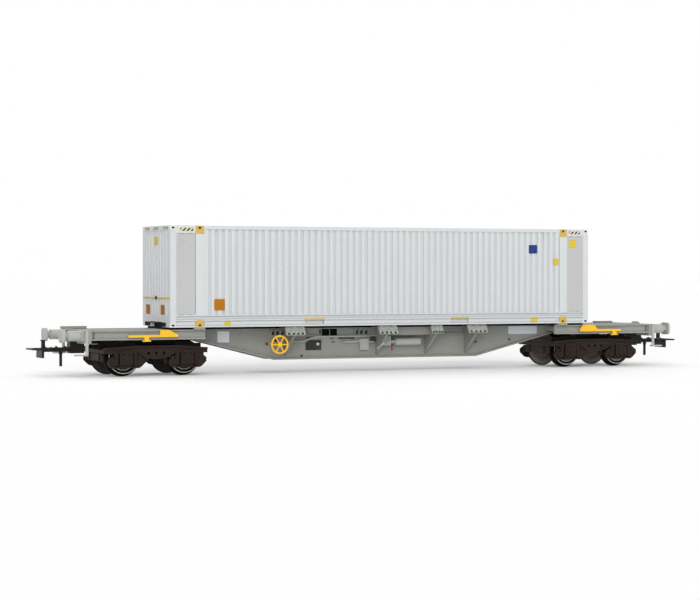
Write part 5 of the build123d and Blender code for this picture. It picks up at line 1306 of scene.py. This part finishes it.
@dataclass(frozen=True)
class Wheelset(Assembly):
    """One wheelset: bright rings on the tyres' faces, a painted highlight for their glint, and a dull ring on
    their backs.
    """

    number: int
    axle_x: float
    face_y: float = 9.99
    web_y: float = 0.36
    back_y: float = 7.21

    @property
    def body(self) -> str:
        """The CAD body of this wheelset."""
        return f"wheelset_{self.number}"

    def both_wheels(self, y: float) -> list[Matrix]:
        """The places on this axle at a Y on the near wheel and half a turn round on the far one."""
        hub = shift(self.axle_x, 0.0, AXLE_Z)
        return [hub @ place for place in near_and_far([shift(0.0, y, 0.0)])]

    def dress(self) -> None:
        """Builds the rings and gives the CAD nodes their finishes."""
        dress_nodes(TYRE_METAL, f"wheel_rims_{self.number}")
        # The right bogie's wheels get the paler copy: painted light
        centre = WHEEL_CENTRE_LIT if self.axle_x > 0 else WHEEL_CENTRE
        dress_nodes(centre, f"axle_{self.number}")
        # Bright nickel rings on the tyres' faces: painted highlight where the tyres glint
        inner = repeat(ring(3.98, 3.82, 0.05, 64), [shift(0.0, self.web_y, 0.0)])
        bright = join([ring(5.12, 4.9, 0.05, 64), inner])
        self.add(f"tyre_highlight_rings_{self.number}", BRIGHT_METAL, bright, self.both_wheels(-self.face_y))
        dull = round_edges(ring(5.7, 4.2, 0.06, 64), 0.02, 1, outward_edge)
        self.add(f"wheel_backs_{self.number}", centre, dull, self.both_wheels(self.back_y))


@dataclass(frozen=True)
class Coupling(Assembly):
    """One close coupler with its lifting loop: a collar, a pin sleeve and pin heads on the moulded shank."""

    end: End
    trip_x: float = 111.0
    trip_foot: float = 3.3
    shank_z: tuple[float, float] = (8.05, 9.45)
    head_x: tuple[float, float] = (-1.5, 1.5)

    @property
    def body(self) -> str:
        """The CAD body of this coupler."""
        return f"coupling_{self.end.word}"

    def dress(self) -> None:
        """Builds the small gear and gives the CAD nodes their finishes."""
        word = self.end.word
        dress_nodes(COUPLER_BLACK, f"drawbar_{word}", f"coupler_{word}", f"coupler_loop_{word}")
        foot, head = self.shank_z
        collar = start_drum((0.0, 0.0, foot - 0.2), 0.62, 1.0, Axis.Z, 20)
        with edit(collar, Element.FACE, downward):
            bpy.ops.mesh.extrude_region_move(TRANSFORM_OT_translate={"value": (0.0, 0.0, -0.35 * MM)})
            bpy.ops.transform.resize(value=(0.75, 0.75, 1.0))
        sleeve = start_drum((0.0, 0.0, (self.trip_foot + foot) / 2), 0.48, foot - self.trip_foot, Axis.Z, 20)
        turned = Matrix.Rotation(-math.pi / 2, 4, "X")
        heads = repeat(hex_bolt(0.42, 0.35), [shift(x, 0.0, head - 0.02) @ turned for x in self.head_x])
        gear = join([round_edges(collar, 0.06, 1), sleeve, heads])
        self.add(f"coupler_gear_{word}", COUPLER_BLACK, gear, [shift(self.end.value * self.trip_x, 0.0, 0.0)])


@dataclass(frozen=True)
class Studio:
    """The white table, the soft lamps and the camera that stands where the photographer stood."""

    eye: Point = (-297.22, -640.33, 34.79)
    yaw: float = 24.296
    pitch: float = -0.862
    roll: float = 0.048
    lens: float = 104.848
    sensor: float = 36.0
    clip: Spot = (10.0, 50000.0)
    floor_radius: float = 4000.0
    floor_colour: str = "f8f8f8"
    ambient: float = 0.34
    floor_glow: float = 0.135
    # The columns are the name, the compass, height and spread in degrees, and the strength
    lamps: tuple[tuple[str, float, float, float, float], ...] = (
        ("top_front_light", -10.0, 44.0, 45.0, 1.2),
        ("top_back_light", 180.0, 50.0, 45.0, 1.0),
        ("low_front_light", -30.0, 7.0, 40.0, 1.4),
    )

    def build(self) -> None:
        """Sets the view, the table, the lamps and the camera."""
        bpy.context.scene.view_settings.view_transform = "Standard"
        self.light_world()
        self.lay_floor()
        self.hang_lamps()
        self.place_camera()

    @staticmethod
    def seen(tree: Tree) -> Socket:
        """One for rays from the camera, from gloss and through glass, which see the white ground."""
        path = add_node(tree, "ShaderNodeLightPath").outputs
        gloss = reckon(tree, "MAXIMUM", path["Is Camera Ray"], path["Is Glossy Ray"])
        return reckon(tree, "MAXIMUM", gloss, path["Is Transmission Ray"])

    def light_world(self) -> None:
        """Makes the world white to look at and a soft grey as light."""
        world = bpy.data.worlds.new("white_studio")
        tree = blank_tree(world)
        strength = remap(tree, self.seen(tree), (0.0, 1.0), (self.ambient, 1.0))
        light = {"Color": (1.0, 1.0, 1.0, 1.0), "Strength": strength}
        sky = add_node(tree, "ShaderNodeBackground", light).outputs["Background"]
        add_node(tree, "ShaderNodeOutputWorld", {"Surface": sky})
        bpy.context.scene.world = world

    def lay_floor(self) -> None:
        """Lays a white table that keeps the shadow and fades to white."""
        bpy.ops.object.select_all(action="DESELECT")
        bpy.ops.mesh.primitive_circle_add(vertices=96, radius=self.floor_radius * MM, fill_type="NGON")
        floor = bpy.context.object
        floor.name = "studio_floor"
        paper = bpy.data.materials.new("white_card")
        tree = blank_tree(paper)
        card = add_node(tree, "ShaderNodeBsdfDiffuse", {"Color": linear(self.floor_colour)}).outputs["BSDF"]
        strength = reckon(tree, "MULTIPLY", self.seen(tree), self.floor_glow)
        glow = add_node(tree, "ShaderNodeEmission", {"Strength": strength}).outputs["Emission"]
        both = add_node(tree, "ShaderNodeAddShader", {0: card, 1: glow}).outputs["Shader"]
        add_node(tree, "ShaderNodeOutputMaterial", {"Surface": both})
        floor.data.materials.append(paper)

    def hang_lamps(self) -> None:
        """Hangs three wide soft lights, each by the compass and the height that it shines from."""
        for name, compass, height, spread, strength in self.lamps:
            light = bpy.data.lights.new(name, "SUN")
            light.angle = math.radians(spread)
            light.energy = strength
            lamp = bpy.data.objects.new(name, light)
            turn, rise = math.radians(compass), math.radians(height)
            flat = math.cos(rise)
            source = Vector((math.sin(turn) * flat, -math.cos(turn) * flat, math.sin(rise)))
            lamp.rotation_euler = (-source).to_track_quat("-Z", "Y").to_euler()
            lamp.visible_camera = False
            bpy.context.collection.objects.link(lamp)

    def place_camera(self) -> None:
        """Stands the camera at the solved place of the photograph."""
        yaw, pitch, roll = (math.radians(angle) for angle in (self.yaw, self.pitch, self.roll))
        ahead = Vector((math.sin(yaw) * math.cos(pitch), math.cos(yaw) * math.cos(pitch), math.sin(pitch)))
        level = Vector((math.cos(yaw), -math.sin(yaw), 0.0))
        above = level.cross(ahead)
        right = level * math.cos(roll) + above * math.sin(roll)
        up = above * math.cos(roll) - level * math.sin(roll)
        data = bpy.data.cameras.new("photo_camera")
        data.sensor_fit = "HORIZONTAL"
        data.sensor_width = self.sensor
        data.lens = self.lens
        data.clip_start, data.clip_end = (reach * MM for reach in self.clip)
        camera = bpy.data.objects.new("photo_camera", data)
        turned = Matrix((right, up, -ahead)).transposed().to_4x4()
        camera.matrix_world = Matrix.Translation(Vector(self.eye) * MM) @ turned
        bpy.context.collection.objects.link(camera)
        bpy.context.scene.camera = camera


def main() -> None:
    """Builds the wagon's pieces in order, then the studio."""
    logging.basicConfig(level=logging.INFO, format="%(message)s")
    CargoBox().dress()
    Underframe().dress()
    for end in End:
        Bogie(end).dress()
        Coupling(end).dress()
        for number, axle in enumerate(AXLES, start=end.value + 2):
            Wheelset(number, end.value * PIVOT_X + axle).dress()
    Studio().build()


if __name__ == "__main__":
    main()
